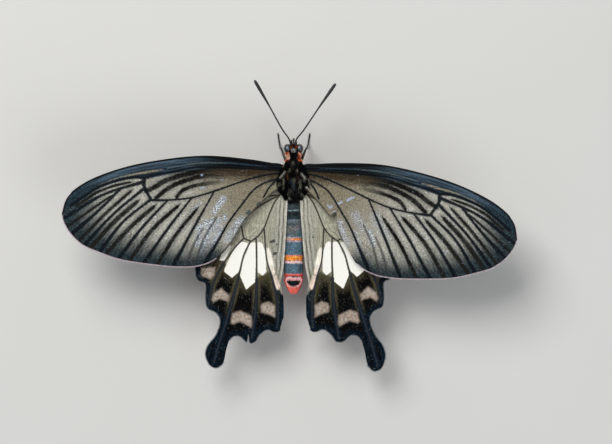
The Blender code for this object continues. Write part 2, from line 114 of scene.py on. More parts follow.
class Finish:
    """A material in the making: nodes are added one by one and lead to one Principled shader."""

    def __init__(self, name, **constants):
        self.material = bpy.data.materials.new(name)
        self.material.use_nodes = True
        self.tree = self.material.node_tree
        self.shader = self.tree.nodes["Principled BSDF"]
        for socket, value in constants.items():
            self.shader.inputs[socket.replace("_", " ")].default_value = value
        points = self.tree.nodes.new("ShaderNodeTexCoord").outputs["Object"]
        self.place = self.add("ShaderNodeMapping", {"Vector": points, "Scale": (1 / MM,) * 3}).outputs[0]

    def plug(self, socket, value):
        """Give a socket a constant, a colour, a worked-out number or another node's output."""
        if isinstance(value, Value):
            value = value.socket
        if isinstance(value, bpy.types.NodeSocket):
            self.tree.links.new(value, socket)
        elif socket.type == "RGBA":
            socket.default_value = (*value, 1.0)
        else:
            socket.default_value = value

    def add(self, kind, inputs, **options):
        """Add a node with its options, and fill its inputs by name or number."""
        node = self.tree.nodes.new(kind)
        for option, value in options.items():
            setattr(node, option, value)
        for key, value in inputs.items():
            self.plug(node.inputs[key], value)
        return node

    def field(self, name):
        """Read a number that the piece's mesh carries at each point."""
        return Value(self, self.add("ShaderNodeAttribute", {}, attribute_name=name).outputs["Fac"])

    def fields(self, *names):
        """Read several numbers that the piece's mesh carries at each point."""
        return [self.field(name) for name in names]

    def painted(self):
        """Read the colour that the piece's mesh carries at each point."""
        return self.add("ShaderNodeAttribute", {}, attribute_name="paint").outputs["Color"]

    def number(self, operation, *values):
        """Work out one number from others."""
        node = self.add("ShaderNodeMath", dict(enumerate(values)), operation=operation)
        return Value(self, node.outputs[0])

    def ease(self, value, low, high, start=0.0, end=1.0):
        """Go smoothly from start to end while a value goes from low to high."""
        inputs = {"Value": value, "From Min": low, "From Max": high, "To Min": start, "To Max": end}
        node = self.add("ShaderNodeMapRange", inputs, interpolation_type="SMOOTHSTEP")
        return Value(self, node.outputs[0])

    def mix(self, share, under, over):
        """Lay one colour over another by a share."""
        inputs = {0: share, 6: under, 7: over}
        return self.add("ShaderNodeMix", inputs, data_type="RGBA").outputs[2]

    def scaled(self, tint, share):
        """Darken or lighten a colour by a number."""
        return self.add("ShaderNodeVectorMath", {0: tint, "Scale": share}, operation="SCALE").outputs[0]

    def grain(self, size, detail=2.0, along=None, stretch=(1.0, 1.0, 1.0)):
        """Soft noise with marks of one size, in millimetres, which a stretch draws out."""
        vector = self.add("ShaderNodeMapping", {"Vector": along or self.place, "Scale": stretch}).outputs[0]
        inputs = {"Vector": vector, "Scale": 1 / size, "Detail": detail}
        return Value(self, self.add("ShaderNodeTexNoise", inputs).outputs["Fac"])

    def wear(self, tint, roughness, height, depth):
        """Lead colour, roughness and relief, its depth in millimetres, into the shader."""
        self.plug(self.shader.inputs["Base Color"], tint)
        self.plug(self.shader.inputs["Roughness"], roughness)
        bump = self.add("ShaderNodeBump", {"Height": height, "Distance": depth * MM})
        self.plug(self.shader.inputs["Normal"], bump.outputs[0])
        return self.material


def show(name, mesh, material):
    """Turn a mesh in the animal's millimetres into a piece in the frame's metres."""
    mesh.transform(on_frame)
    mesh.materials.append(material)
    piece = bpy.data.objects.new(name, mesh)
    bpy.context.scene.collection.objects.link(piece)
    return piece


def add_piece(name, bm, material):
    """Turn a mesh in the making into a smooth piece."""
    mesh = bpy.data.meshes.new(name)
    bm.to_mesh(mesh)
    bm.free()
    mesh.shade_smooth()
    return show(name, mesh, material)


card = Finish("studio_card", Specular_IOR_Level=0.2)
card_finish = card.wear(
    card.mix(card.grain(60.0, 4.0), *[colour(*tint) for tint in FLOOR_COLOURS]),
    card.ease(card.grain(15.0), 0.3, 0.7, 0.75, 0.9),
    card.grain(0.8, 4.0),
    0.02,
)
sheet = bmesh.new()
bmesh.ops.create_grid(sheet, x_segments=1, y_segments=1, size=FLOOR_HALF / MM)
floor = add_piece("floor", sheet, card_finish)


# The light. It is soft daylight as in a studio: a wide soft box high in front of the head and a
# little to the animal's left, a weaker one behind, and a pale even sky.
SOFT_BOXES = {
    "soft_box_front": ((200.0, -330.0, 540.0), 380.0, 3.4, (1.0, 0.99, 0.97)),
    "soft_box_back": ((-280.0, 360.0, 400.0), 380.0, 0.9, (0.93, 0.96, 1.0)),
}                              # place, width, watts and colour
SKY = (0.93, 0.96, 1.0)
SKY_STRENGTH = 0.3

for name, (place, width, watts, tint) in SOFT_BOXES.items():
    lamp = bpy.data.lights.new(name, "AREA")
    lamp.shape = "SQUARE"
    lamp.size = width * MM
    lamp.energy = watts
    lamp.color = tint
    box = bpy.data.objects.new(name, lamp)
    box.location = on_frame @ Vector(place)
    box.rotation_euler = Vector(place).to_track_quat("Z", "Y").to_euler()
    bpy.context.scene.collection.objects.link(box)
sky = bpy.data.worlds.new("sky")
sky.use_nodes = True
sky.node_tree.nodes["Background"].inputs["Color"].default_value = (*SKY, 1.0)
sky.node_tree.nodes["Background"].inputs["Strength"].default_value = SKY_STRENGTH
bpy.context.scene.world = sky
bpy.context.scene.view_settings.view_transform = "Standard"


# The skin of head, thorax and abdomen. It is one shell of hard black chitin under fur in front
# and under flat scales behind, where plates overlap like tiles and each one's rear edge lies
# over the next. It is lofted from rings as one form, so that no seam shows.
BODY = np.array([              # Y, half width, half height and height of the middle
    (-6.30, 0.12, 0.15, 10.40), (-6.22, 0.42, 0.50, 10.40), (-5.95, 0.80, 0.92, 10.42),
    (-5.5, 1.08, 1.24, 10.46), (-4.9, 1.20, 1.40, 10.50), (-4.3, 1.15, 1.30, 10.52),
    (-3.8, 0.96, 1.08, 10.55), (-3.3, 0.82, 0.92, 10.58), (-2.9, 0.90, 1.05, 10.60),
    (-2.4, 1.18, 1.42, 10.58), (-1.6, 1.56, 2.02, 10.52), (-0.3, 1.86, 2.52, 10.45),
    (1.2, 1.95, 2.76, 10.40), (2.8, 1.80, 2.56, 10.40), (4.1, 1.50, 2.02, 10.45), (5.0, 1.36, 1.60, 10.42),
    (6.0, 1.45, 1.60, 10.36), (8.0, 1.60, 1.70, 10.25), (10.4, 1.76, 1.86, 10.10), (14.2, 1.92, 2.03, 9.72),
    (18.7, 2.04, 2.16, 9.22), (21.6, 2.05, 2.17, 8.96), (23.4, 1.86, 1.97, 8.80), (24.7, 1.45, 1.54, 8.68),
    (25.6, 1.05, 1.10, 8.60), (26.1, 0.70, 0.74, 8.57), (26.32, 0.36, 0.38, 8.55),
])
RING_STEP = 0.1
RING_SIDES = 72
PLATE_EDGES = [8.05, 10.4, 14.25, 18.75, 22.5, 24.9]
PLATE_LIP = 0.11               # how far a plate's rear edge stands over the next one
PLATE_START = 5.6
SLOPE_STEP = 0.15              # how far to either side the slope of the skin is taken
FUR_BLACK = colour(9, 9, 11)
SLATE = colour(84, 110, 124)
SIDE_BLACK = colour(12, 13, 16)
BELLY_RED = colour(196, 38, 36)
CHEEK_RED = colour(204, 80, 38)
BANDS = [                      # from, to, how far back the middle bows, and colour
    (6.4, 8.05, 0.0, (50, 62, 66)), (8.1, 8.35, 0.0, (120, 136, 140)), (8.45, 10.2, 0.0, (34, 50, 54)),
    (10.3, 10.55, 0.0, (128, 134, 142)), (10.6, 13.8, 0.0, (88, 100, 104)),
    (14.0, 14.2, 0.1, (196, 176, 178)), (14.2, 14.7, 0.1, (236, 136, 62)),
    (14.75, 15.05, 0.1, (172, 164, 178)), (17.95, 18.15, 0.05, (240, 128, 112)),
    (18.15, 19.05, 0.1, (250, 150, 54)), (19.1, 19.6, 0.2, (255, 216, 220)),
    (21.9, 22.05, 0.2, (246, 140, 136)), (22.05, 22.4, 0.22, (234, 84, 58)),
    (22.62, 23.3, 0.2, (252, 196, 200)),
]
BAND_BLUR = 0.06
BLOTCHES = [                   # place, half length across and along, colour and strength, on the back
    (1.3, 14.45, 1.1, 0.3, (186, 172, 172), 0.8), (0.0, 9.05, 1.4, 0.5, (8, 11, 13), 0.85),
    (-0.4, 12.3, 0.7, 0.35, (150, 132, 136), 0.5), (0.9, 12.3, 0.6, 0.8, (112, 110, 100), 0.6),
    (0.3, 11.3, 1.2, 0.25, (50, 58, 64), 0.7), (-0.9, 11.6, 0.4, 0.5, (120, 96, 104), 0.5),
    (-1.5, 13.2, 0.5, 0.6, (66, 118, 126), 0.7), (-1.35, 17.2, 0.5, 0.7, (66, 122, 128), 0.6),
    (1.45, 17.4, 0.4, 0.5, (62, 118, 126), 0.6), (0.0, 16.4, 0.9, 0.8, (96, 124, 146), 0.5),
    (-1.4, 20.6, 0.5, 0.9, (44, 62, 68), 0.6), (0.0, 22.55, 0.45, 0.14, (30, 22, 20), 0.9),
    (0.0, 19.35, 0.6, 0.2, (250, 214, 120), 0.6), (-0.3, 18.3, 0.3, 0.2, (252, 214, 120), 0.7),
    (1.0, 18.7, 0.5, 0.2, (255, 190, 90), 0.6),
]
FLANK_RED = colour(220, 28, 28)
RED_END = (23.1, 23.35)
TIP_PINK = colour(255, 140, 124)
END_SPOT = (23.25, 1.35, 1.45)  # front edge, length and half width of the last plate's black spot
END_SPOT_RIM = colour(255, 200, 196)
# a painted teal sheen in the middle of the last plate's black spot
END_SPOT_PAINTED_SHEEN = colour(34, 58, 64)


def ease(low, high, value):
    """Go smoothly from 0 to 1 while a value goes from low to high."""
    share = np.clip((value - low) / (high - low), 0.0, 1.0)
    return share * share * (3 - 2 * share)


def body_size(y):
    """Half width, half height and middle height of the skin at each Y, with the plates' lips."""
    width, height, middle = (np.interp(y, BODY[:, 0], BODY[:, i]) for i in (1, 2, 3))
    edges = np.array([PLATE_START, *PLATE_EDGES])
    plate = np.clip(np.searchsorted(edges, y) - 1, 0, len(edges) - 2)
    share = (y - edges[plate]) / (edges[plate + 1] - edges[plate])
    lip = PLATE_LIP * (ease(0.0, 0.5, share) - 0.45) * ((y > edges[0]) & (y < edges[-1]))
    return width + lip, height + lip, middle


def on_body(y, angle):
    """Places on the skin and the way out of it there, at angles from the middle of the back."""
    width, height, middle = body_size(y)
    ahead, behind = body_size(y + SLOPE_STEP), body_size(y - SLOPE_STEP)
    slopes = [(a - b) / (2 * SLOPE_STEP) for a, b in zip(ahead, behind)]
    sine, cosine = np.sin(angle), np.cos(angle)
    places = np.stack([width * sine, y, middle + height * cosine], axis=1)
    lean = sine ** 2 * slopes[0] / width + cosine * slopes[2] / height + cosine ** 2 * slopes[1] / height
    out = np.stack([sine / width, -lean, cosine / height], axis=1)
    return places, out / np.linalg.norm(out, axis=1)[:, None]


def noise_at(places, stretch, shift=(0.0, 0.0, 0.0)):
    """Smooth noise around zero at places that are stretched and shifted first."""
    return np.array([noise.noise(Vector(place)) for place in places * np.array(stretch) + shift])


def body_paint(places):
    """Colour of the skin and of the coat that grows from it at places on the body."""
    x, y, z = places.T
    width, height, middle = body_size(y)
    even_y = y
    y = y + 0.16 * noise_at(places, (2.3, 0.8, 2.3))
    around = np.degrees(np.arctan2(np.abs(x) / width, (z - middle) / height)) / 90
    paint = np.tile(FUR_BLACK, (len(x), 1))

    def lay(share, tint):
        paint[:] += (np.asarray(tint) - paint) * np.clip(share, 0.0, 1.0)[:, None]

    cheek = ease(0.55, 0.8, around) * ease(-5.3, -4.9, y) * ease(-2.6, -3.2, y)
    lay(cheek, CHEEK_RED)
    lay(ease(0.75, 0.95, around) * ease(-3.0, -2.7, y) * ease(-1.5, -1.9, y), CHEEK_RED * 0.8)
    flank = ease(1.0, 1.15, around) * ease(1.75, 1.6, around)
    lay(flank * ease(-2.6, -1.8, y) * ease(4.2, 3.2, y), BELLY_RED)
    lay(ease(6.0, 6.9, y), SLATE)
    for start, end, bow, tint in BANDS:
        back = bow * (1 - around ** 2)
        front = ease(start + back - BAND_BLUR, start + back + BAND_BLUR, y)
        lay(front * ease(end + back + BAND_BLUR, end + back - BAND_BLUR, y), colour(*tint))
    wobble = 0.9 * noise_at(places, (4.0, 4.0, 4.0))
    for place_x, place_y, half_x, half_y, tint, strength in BLOTCHES:
        near = np.hypot((x - place_x) / half_x, (y - place_y) / half_y) + wobble
        lay(ease(1.3, 0.6, near) * strength * (z > middle), colour(*tint))
    # black along the sides of the abdomen: partly the animal's own black, partly painted shadow where the
    # sides turn away between the wings
    side_black_and_shadow = ease(0.72, 0.86, around) * ease(6.4, 7.4, y) * ease(22.2, 21.6, y)
    lay(side_black_and_shadow, SIDE_BLACK)
    lay(side_black_and_shadow * ease(1.0, 1.1, around) * (0.5 + 0.5 * np.sin(y * 3.1)), BELLY_RED)
    lay(ease(0.56, 0.8, around) * ease(21.9, 22.3, y), FLANK_RED)
    red_end = ease(*RED_END, y)
    lay(red_end, FLANK_RED)
    lay(red_end * ease(0.95, 0.6, around), TIP_PINK)
    front, length, half = END_SPOT
    rim = np.hypot((even_y - front) / length, x / half)
    behind = ease(front - 0.05, front + 0.12, even_y) * (z > middle)
    lay(ease(1.3, 1.12, rim) * (y > front - 0.1) * (z > middle), END_SPOT_RIM)
    lay(ease(1.04, 0.98, rim) * behind, SIDE_BLACK)
    # painted sheen in the middle of the black spot
    lay(ease(0.8, 0.5, rim) * ease(front + 0.3, front + 0.5, even_y) * (z > middle), END_SPOT_PAINTED_SHEEN)
    return paint


def add_ring(bm, sides, matrix):
    """Add one closed ring of unit radius, placed by its matrix, and return its edges."""
    made = bmesh.ops.create_circle(bm, cap_ends=False, segments=sides, radius=1.0, matrix=matrix)
    return list({edge for vert in made["verts"] for edge in vert.link_edges})


def add_loft(bm, matrices, sides):
    """Bridge a row of rings into one closed form and add it to a mesh."""
    form = bmesh.new()
    rings = [add_ring(form, sides, matrix) for matrix in matrices]
    for front, back in zip(rings, rings[1:]):
        bmesh.ops.bridge_loops(form, edges=front + back)
    for end in (rings[0], rings[-1]):
        bmesh.ops.contextual_create(form, geom=end)
    bmesh.ops.recalc_face_normals(form, faces=form.faces)
    join(bm, form)


def join(bm, form):
    """Add one mesh in the making to another."""
    spare = bpy.data.meshes.new("spare")
    form.to_mesh(spare)
    form.free()
    bm.from_mesh(spare)
    bpy.data.meshes.remove(spare)


def paint_points(mesh, paint):
    """Store a colour at each point of a mesh."""
    layer = mesh.attributes.new("paint", "FLOAT_COLOR", "POINT")
    layer.data.foreach_set("color", np.column_stack([paint, np.ones(len(paint))]).ravel())


def number_points(mesh, name, values):
    """Store a number at each point of a mesh."""
    mesh.attributes.new(name, "FLOAT", "POINT").data.foreach_set("value", values.astype(np.float32))


def mesh_points(mesh):
    """The points of a mesh as rows."""
    points = np.empty(len(mesh.vertices) * 3)
    mesh.vertices.foreach_get("co", points)
    return points.reshape(-1, 3)


chitin = Finish("scaled_skin", Specular_IOR_Level=0.25)
flecks = chitin.grain(0.32, 3.0)
mottle = chitin.grain(0.9, 2.0)
skin_tint = chitin.scaled(chitin.painted(), chitin.ease(flecks, 0.3, 0.72, 0.55, 1.5))
skin_tint = chitin.scaled(skin_tint, chitin.ease(mottle, 0.3, 0.7, 0.8, 1.2))
skin_finish = chitin.wear(skin_tint, chitin.ease(mottle, 0.3, 0.7, 0.42, 0.62), flecks, 0.05)

rings = []
for y in np.arange(BODY[0, 0], BODY[-1, 0] + RING_STEP / 2, RING_STEP):
    width, height, middle = body_size(np.array([y]))
    upright = Matrix.Translation((0.0, y, middle[0])) @ Matrix.Rotation(math.pi / 2, 4, "X")
    rings.append(upright @ Matrix.Diagonal((width[0], height[0], 1.0, 1.0)))
body = bmesh.new()
add_loft(body, rings, RING_SIDES)
skin_paint = body_paint(np.array([vert.co[:] for vert in body.verts]))
skin = add_piece("skin", body, skin_finish)
paint_points(skin.data, skin_paint)
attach(skin, "root")
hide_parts("head", "thorax", "abdomen")


# The eyes. Each is a large oval compound eye, nearly black, with hundreds of raised six-sided
# facets under a hard gloss. An icosphere's corners are cut off to make the facets. A pale
# blue-grey patch on the upper outer side of each eye is a painted reflection of the sky.
SIDES = ((1, "left"), (-1, "right"))
EYE_CENTRE = (1.3, -5.15, 10.62)
EYE_RADII = (0.88, 1.05, 1.28)
EYE_SUBDIVISIONS = 4
FACET_CUT = 33.3               # per cent of an edge, which leaves facets of six even sides
FACET_RIM = 0.16               # as a share of the facet's width
FACET_RISE = 0.004
EYE_COLOURS = (colour(7, 8, 11), colour(24, 30, 38))
# the painted reflection of the sky on each eye: its middle, its radii and its colour
PAINTED_REFLECTION_PLACE = (1.3, -5.3)
PAINTED_REFLECTION_RADII = (0.5, 0.66)
PAINTED_REFLECTION_COLOUR = colour(92, 102, 120)

glass = Finish("eye_gloss", Specular_IOR_Level=0.7, Coat_Weight=0.6, Coat_Roughness=0.05)
# a blue-grey patch painted on each eye as the reflection of the sky
painted_reflection = glass.field("painted_reflection") + glass.grain(0.3, 2.0) * 0.9
eye_tint = glass.mix(glass.ease(glass.grain(0.5, 2.0), 0.4, 0.7), *EYE_COLOURS)
eye_finish = glass.wear(
    glass.mix(glass.ease(painted_reflection, 0.7, 1.45, 0.0, 0.9), eye_tint, PAINTED_REFLECTION_COLOUR),
    glass.ease(glass.grain(0.2), 0.3, 0.7, 0.14, 0.26),
    glass.grain(0.05, 1.0),
    0.002,
)
for side, word in SIDES:
    place = Matrix.Translation((side * EYE_CENTRE[0], EYE_CENTRE[1], EYE_CENTRE[2]))
    eye = bmesh.new()
    bmesh.ops.create_icosphere(eye, subdivisions=EYE_SUBDIVISIONS, radius=1.0,
                               matrix=place @ Matrix.Diagonal((*EYE_RADII, 1.0)))
    bmesh.ops.bevel(eye, geom=eye.verts[:], affect="VERTICES", offset=FACET_CUT, offset_type="PERCENT",
                    segments=1, profile=0.5, material=-1)
    facet = math.sqrt(sum(face.calc_area() for face in eye.faces) / len(eye.faces))
    bmesh.ops.inset_individual(eye, faces=eye.faces[:], thickness=facet * FACET_RIM, depth=FACET_RISE)
    spots = np.array([vert.co[:] for vert in eye.verts])
    # where the painted reflection of the sky lies on this eye
    off = (spots[:, :2] * (side, 1) - PAINTED_REFLECTION_PLACE) / PAINTED_REFLECTION_RADII
    painted_reflection = ease(1.2, 0.2, np.hypot(*off.T)) * (spots[:, 2] > EYE_CENTRE[2])
    piece = add_piece(f"facet_eye_{word}", eye, eye_finish)
    number_points(piece.data, "painted_reflection", painted_reflection)
    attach(piece, "root")
    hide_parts(f"eye_{word}")


# The feelers. Each is a stiff thread of some fifty short rings that thickens into a blunt club,
# black and finely scaled, and stands in a small socket on top of the head.
FEELER_PATHS = {
    1: [(0.5, -5.5, 11.3), (1.0, -7.2, 12.3), (2.4, -9.2, 13.1), (5.2, -14.2, 14.5), (8.4, -19.75, 15.4)],
    -1: [(0.35, -5.5, 11.3), (0.7, -7.2, 12.3), (2.0, -8.8, 13.0), (5.7, -14.2, 14.4), (9.1, -19.05, 15.0)],
}
FEELER_RING = 0.30             # length of one ring of the feeler
FEELER_RADII = [
    (0.0, 0.24), (0.03, 0.24), (0.045, 0.165), (0.6, 0.165), (0.88, 0.36), (0.97, 0.34), (1.0, 0.2),
]
RING_SWELL = 0.07              # how much each ring bulges
FEELER_SIDES = 12
SPLINE_STEPS = 16              # points of a smooth line between two of its control points


def smooth_line(points, spacing, closed=False):
    """Pass a centripetal spline through points and return points evenly spaced along it."""
    control = [np.array(point, float) for point in points]
    if closed:
        control = [control[-1], *control, control[0], control[1]]
    else:
        control = [2 * control[0] - control[1], *control, 2 * control[-1] - control[-2]]
    samples = []
    for a, b, c, d in zip(control, control[1:], control[2:], control[3:]):
        knots = [0.0]
        for start, end in ((a, b), (b, c), (c, d)):
            knots.append(knots[-1] + max(np.linalg.norm(end - start), 1e-6) ** 0.5)
        for t in np.linspace(knots[1], knots[2], SPLINE_STEPS, endpoint=False):
            samples.append(spline_point((a, b, c, d), knots, t))
    samples.append(control[-2])
    line = spaced(samples, spacing)
    return line[:-1] if closed else line


def run_lengths(line):
    """How far along a line of straight runs each of its points is."""
    return np.concatenate([[0.0], np.cumsum(np.linalg.norm(np.diff(line, axis=0), axis=1))])


def points_along(line, lengths, wanted):
    """The points that are wanted lengths along a line."""
    return np.stack([np.interp(wanted, lengths, axis) for axis in line.T], axis=1)


def spaced(line, spacing):
    """Return points evenly spaced along a line of straight runs."""
    line = np.array(line, float)
    lengths = run_lengths(line)
    count = max(2, round(lengths[-1] / spacing)) + 1
    return points_along(line, lengths, np.linspace(0.0, lengths[-1], count))


def spline_point(points, knots, t):
    """Blend four control points at t, first in threes, then in pairs, then to one point."""
    def mix(low, high, start, end):
        share = (t - start) / (end - start)
        return (1 - share) * low + share * high

    first = [mix(points[i], points[i + 1], knots[i], knots[i + 1]) for i in range(3)]
    second = [mix(first[i], first[i + 1], knots[i], knots[i + 2]) for i in range(2)]
    return mix(second[0], second[1], knots[1], knots[2])


def add_tube(bm, path, radii, sides):
    """Sweep a round section along a path, with one radius for each of its points."""
    points = [Vector(point) for point in path]
    matrices = []
    across = None
    for i, point in enumerate(points):
        ahead = points[min(i + 1, len(points) - 1)] - points[max(i - 1, 0)]
        ahead.normalize()
        if across is None:
            across = ahead.orthogonal()
        across = (across - ahead * across.dot(ahead)).normalized()
        turn = Matrix((across, ahead.cross(across), ahead)).transposed().to_4x4()
        size = Matrix.Diagonal((radii[i], radii[i], 1.0, 1.0))
        matrices.append(Matrix.Translation(point) @ turn @ size)
    add_loft(bm, matrices, sides)


shell = Finish("black_chitin", Specular_IOR_Level=0.5)
dust = shell.grain(0.16, 2.0)
shell_tint = shell.mix(shell.ease(dust, 0.48, 0.75), colour(10, 10, 12), colour(48, 50, 54))
chitin_finish = shell.wear(shell_tint, shell.ease(dust, 0.3, 0.7, 0.34, 0.56), dust, 0.015)

for side, word in SIDES:
    path = smooth_line([(side * x, y, z) for x, y, z in FEELER_PATHS[side]], FEELER_RING / 4)
    places, sizes = zip(*FEELER_RADII)
    radii = np.interp(np.linspace(0, 1, len(path)), places, sizes)
    radii *= 1 + RING_SWELL * np.sin(np.arange(len(path)) * math.pi / 2)
    feeler = bmesh.new()
    add_tube(feeler, path, radii, FEELER_SIDES)
    piece = add_piece(f"feeler_{word}", feeler, chitin_finish)
    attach(piece, "root")
    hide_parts(f"antenna_{word}")


# The proboscis. It is a sucking tube of two halves side by side, ringed from end to end,
# brown-black and shiny, and it is held in a flat coil under the face.
COIL_ROOT = (0.0, -5.1, 9.3)
COIL_CENTRE = (0.0, -6.1, 8.0)
COIL_RADII = (1.38, 0.3)
COIL_START = 60.0              # degrees
COIL_TURNS = 2.3
COIL_STEPS = 260
TUBE_RADII = (0.2, 0.1)
TUBE_APART = 0.1               # between the middles of the two halves
TUBE_SWELL = 0.06              # how much each ring bulges
TUBE_SIDES = 10

amber = Finish("proboscis_chitin", Specular_IOR_Level=0.55, Coat_Weight=0.2, Coat_Roughness=0.2)
stain = amber.grain(0.2, 2.0)
coil_finish = amber.wear(
    amber.mix(amber.ease(stain, 0.35, 0.7), colour(22, 15, 12), colour(58, 38, 26)),
    amber.ease(stain, 0.3, 0.7, 0.24, 0.42),
    stain,
    0.01,
)
coil = bmesh.new()
for half in (1, -1):
    path = [Vector(COIL_ROOT)]
    for i in range(COIL_STEPS + 1):
        along = i / COIL_STEPS
        angle = math.radians(COIL_START) + 2 * math.pi * COIL_TURNS * along
        radius = COIL_RADII[0] + (COIL_RADII[1] - COIL_RADII[0]) * along
        path.append(Vector(COIL_CENTRE) + Vector((0.0, math.cos(angle), math.sin(angle))) * radius)
    path = [point + Vector((half * TUBE_APART / 2, 0.0, 0.0)) for point in path]
    swell = 1 + TUBE_SWELL * np.sin(np.arange(len(path)) * math.pi / 2)
    add_tube(coil, path, np.linspace(*TUBE_RADII, len(path)) * swell, TUBE_SIDES)
proboscis = add_piece("coiled_proboscis", coil, coil_finish)
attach(proboscis, "root")
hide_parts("proboscis")


# The palps. They are two short arms of three joints, black and finely scaled, that stand up in
# front of the face on either side of the proboscis.
PALP_PATH = [(0.45, -5.6, 9.5), (0.52, -6.35, 9.7), (0.5, -6.85, 10.3), (0.42, -6.9, 10.9)]
PALP_RADII = [0.28, 0.3, 0.22, 0.28, 0.24, 0.16, 0.2, 0.16, 0.08]
PALP_STEP = 0.28
LIMB_SIDES = 14

for side, word in SIDES:
    path = smooth_line([(side * x, y, z) for x, y, z in PALP_PATH], PALP_STEP)
    last = len(PALP_RADII) - 1
    radii = np.interp(np.linspace(0, last, len(path)), range(last + 1), PALP_RADII)
    palp = bmesh.new()
    add_tube(palp, path, radii, LIMB_SIDES)
    piece = add_piece(f"jointed_palp_{word}", palp, chitin_finish)
    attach(piece, "root")
    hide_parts(f"palp_{word}")


# The legs. Each has a stout thigh, a thinner shin with two spurs at its end, and a foot of five
# short joints with two hooked claws. They are hard black chitin, with short spines below the knee.
LEG_PATHS = {                  # hip, knee, ankle, first foot joint and toe
    "foreleg": [(0.9, -1.0, 8.6), (2.7, -5.2, 7.4), (3.0, -5.6, 2.3), (3.2, -6.6, 0.3), (3.5, -8.6, 0.2)],
    "midleg": [(1.2, 0.6, 8.2), (5.6, -0.6, 8.6), (8.6, 0.6, 2.2), (9.2, 0.9, 0.3), (11.1, 1.7, 0.2)],
    "hindleg": [(1.2, 2.8, 8.4), (5.0, 8.6, 8.4), (7.4, 14.2, 2.4), (7.9, 15.4, 0.3), (8.6, 19.0, 0.2)],
}
THIGH_RADII = [0.3, 0.4, 0.44, 0.4, 0.33, 0.26, 0.22]
SHIN_RADII = [0.2, 0.23, 0.22, 0.21, 0.21, 0.22, 0.25]
FOOT_RADII = [0.16, 0.15, 0.15, 0.17, 0.19]
FOOT_SHARES = [0.4, 0.2, 0.15, 0.11, 0.14]
FOOT_SIDES = 12
SPUR_LENGTH = 1.1
CLAW_LENGTH = 0.5
CLAW_RADIUS = 0.07             # at the root, for claws and spurs
CLAW_BEND = (0.0, 0.0, -0.25)
SPINE_LENGTH = 0.34
SPINE_RADIUS = 0.03
SPINE_STEP = 0.32
SPINE_TURN = 2.4               # radians from one spine to the next round the leg
SPIKE_SIDES = 5


def add_limb(bm, start, end, radii, sides=LIMB_SIDES):
    """Add one straight joint of a leg with rounded ends and its radii from end to end."""
    start, end = Vector(start), Vector(end)
    shares = np.linspace(0, 1, len(radii))
    fine = np.linspace(0, 1, 3 * len(radii))
    sizes = np.interp(fine, shares, radii) * (1 - 0.55 * (1 - ease(0.0, 0.06, fine)))
    sizes *= 1 - 0.55 * ease(0.94, 1.0, fine)
    add_tube(bm, [start.lerp(end, share) for share in fine], sizes, sides)


def add_spike(bm, root, way, length, radius, bend=(0.0, 0.0, 0.0)):
    """Add a thin thorn that leaves its root along a way and bends as it tapers."""
    shares = (0.0, 0.35, 0.7, 1.0)
    path = [root + way * length * share + Vector(bend) * length * share ** 2 for share in shares]
    add_tube(bm, path, [radius, radius * 0.8, radius * 0.5, radius * 0.08], SPIKE_SIDES)


for name, joints in LEG_PATHS.items():
    for side, word in SIDES:
        hip, knee, ankle, heel, toe = (Vector((side * x, y, z)) for x, y, z in joints)
        leg = bmesh.new()
        add_limb(leg, hip, knee, THIGH_RADII)
        add_limb(leg, knee, ankle, SHIN_RADII)
        foot = [ankle, heel, toe]
        reach = [0.0, (heel - ankle).length, (heel - ankle).length + (toe - heel).length]
        marks = np.concatenate([[0.0], np.cumsum(FOOT_SHARES)]) * reach[-1]
        stops = np.stack([np.interp(marks, reach, axis) for axis in zip(*foot)], axis=1)
        for start, end in zip(stops, stops[1:]):
            add_limb(leg, start, end, FOOT_RADII, FOOT_SIDES)
        for turn in (0.5, -0.5):
            way = (toe - heel).normalized()
            way.rotate(Matrix.Rotation(turn, 3, "Z"))
            add_spike(leg, toe - way * 0.08, way, CLAW_LENGTH, CLAW_RADIUS, CLAW_BEND)
            down = (ankle - knee).normalized()
            aside = down.orthogonal()
            aside.rotate(Matrix.Rotation(2 * turn, 3, down))
            spur = (down + aside * 0.45).normalized()
            add_spike(leg, ankle - down * 0.3, spur, SPUR_LENGTH, CLAW_RADIUS)
        for start, end, size in ((knee, ankle, 0.2), (ankle, heel, 0.14), (heel, toe, 0.14)):
            run = end - start
            for i in range(1, int(run.length / SPINE_STEP)):
                way = run.normalized().orthogonal()
                way.rotate(Matrix.Rotation(SPINE_TURN * i, 3, run.normalized()))
                root = start + run * (i * SPINE_STEP / run.length) + way * size * 0.9
                if root.z > SPINE_RADIUS + 0.05:
                    lean = (way + run.normalized() * 1.4).normalized()
                    lean.z = max(lean.z, (0.04 - root.z) / SPINE_LENGTH)
                    add_spike(leg, root, lean, SPINE_LENGTH, SPINE_RADIUS)
        piece = add_piece(f"jointed_{name}_{word}", leg, chitin_finish)
        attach(piece, "root")
        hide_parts(f"{name}_{word}")


# The forewings. Each is one dry membrane, stiff as paper, pleated between its veins and covered
# on both sides with dust-fine scales: pale grey-brown with dark pleats and veins, slate-black
# along the front edge, at the tip and along the outer edge. It grows from the thorax.
MEMBRANE = 0.09                # thickness
CELL = 1.0                     # squares that a wing's plan is cut into
CELL_CUTS = 5                  # cuts that each square then gets both ways
FRINGE = 0.28                  # depth of the scale fringe that the edge is drawn back for
PLEAT_DEPTH = 0.13
PLEAT_BLUR = 0.45
VEIN_RISE = 0.07
VEIN_BLUR = 0.6
WAVE = 0.1
LINE_STEP = 0.7                # between the points of a smooth vein, pleat or edge
FIELD_STEP = 0.06              # between the points that distances are measured to
FOREWING_HINGES = {1: (2.7, 0.0, 13.1), -1: (2.4, 0.0, 13.1)}
FOREWING_SWEEP = {1: 10.63, -1: 17.4}
FOREWING_RISE = 0.085
FOREWING_CAMBER = (3.0, 0.006)
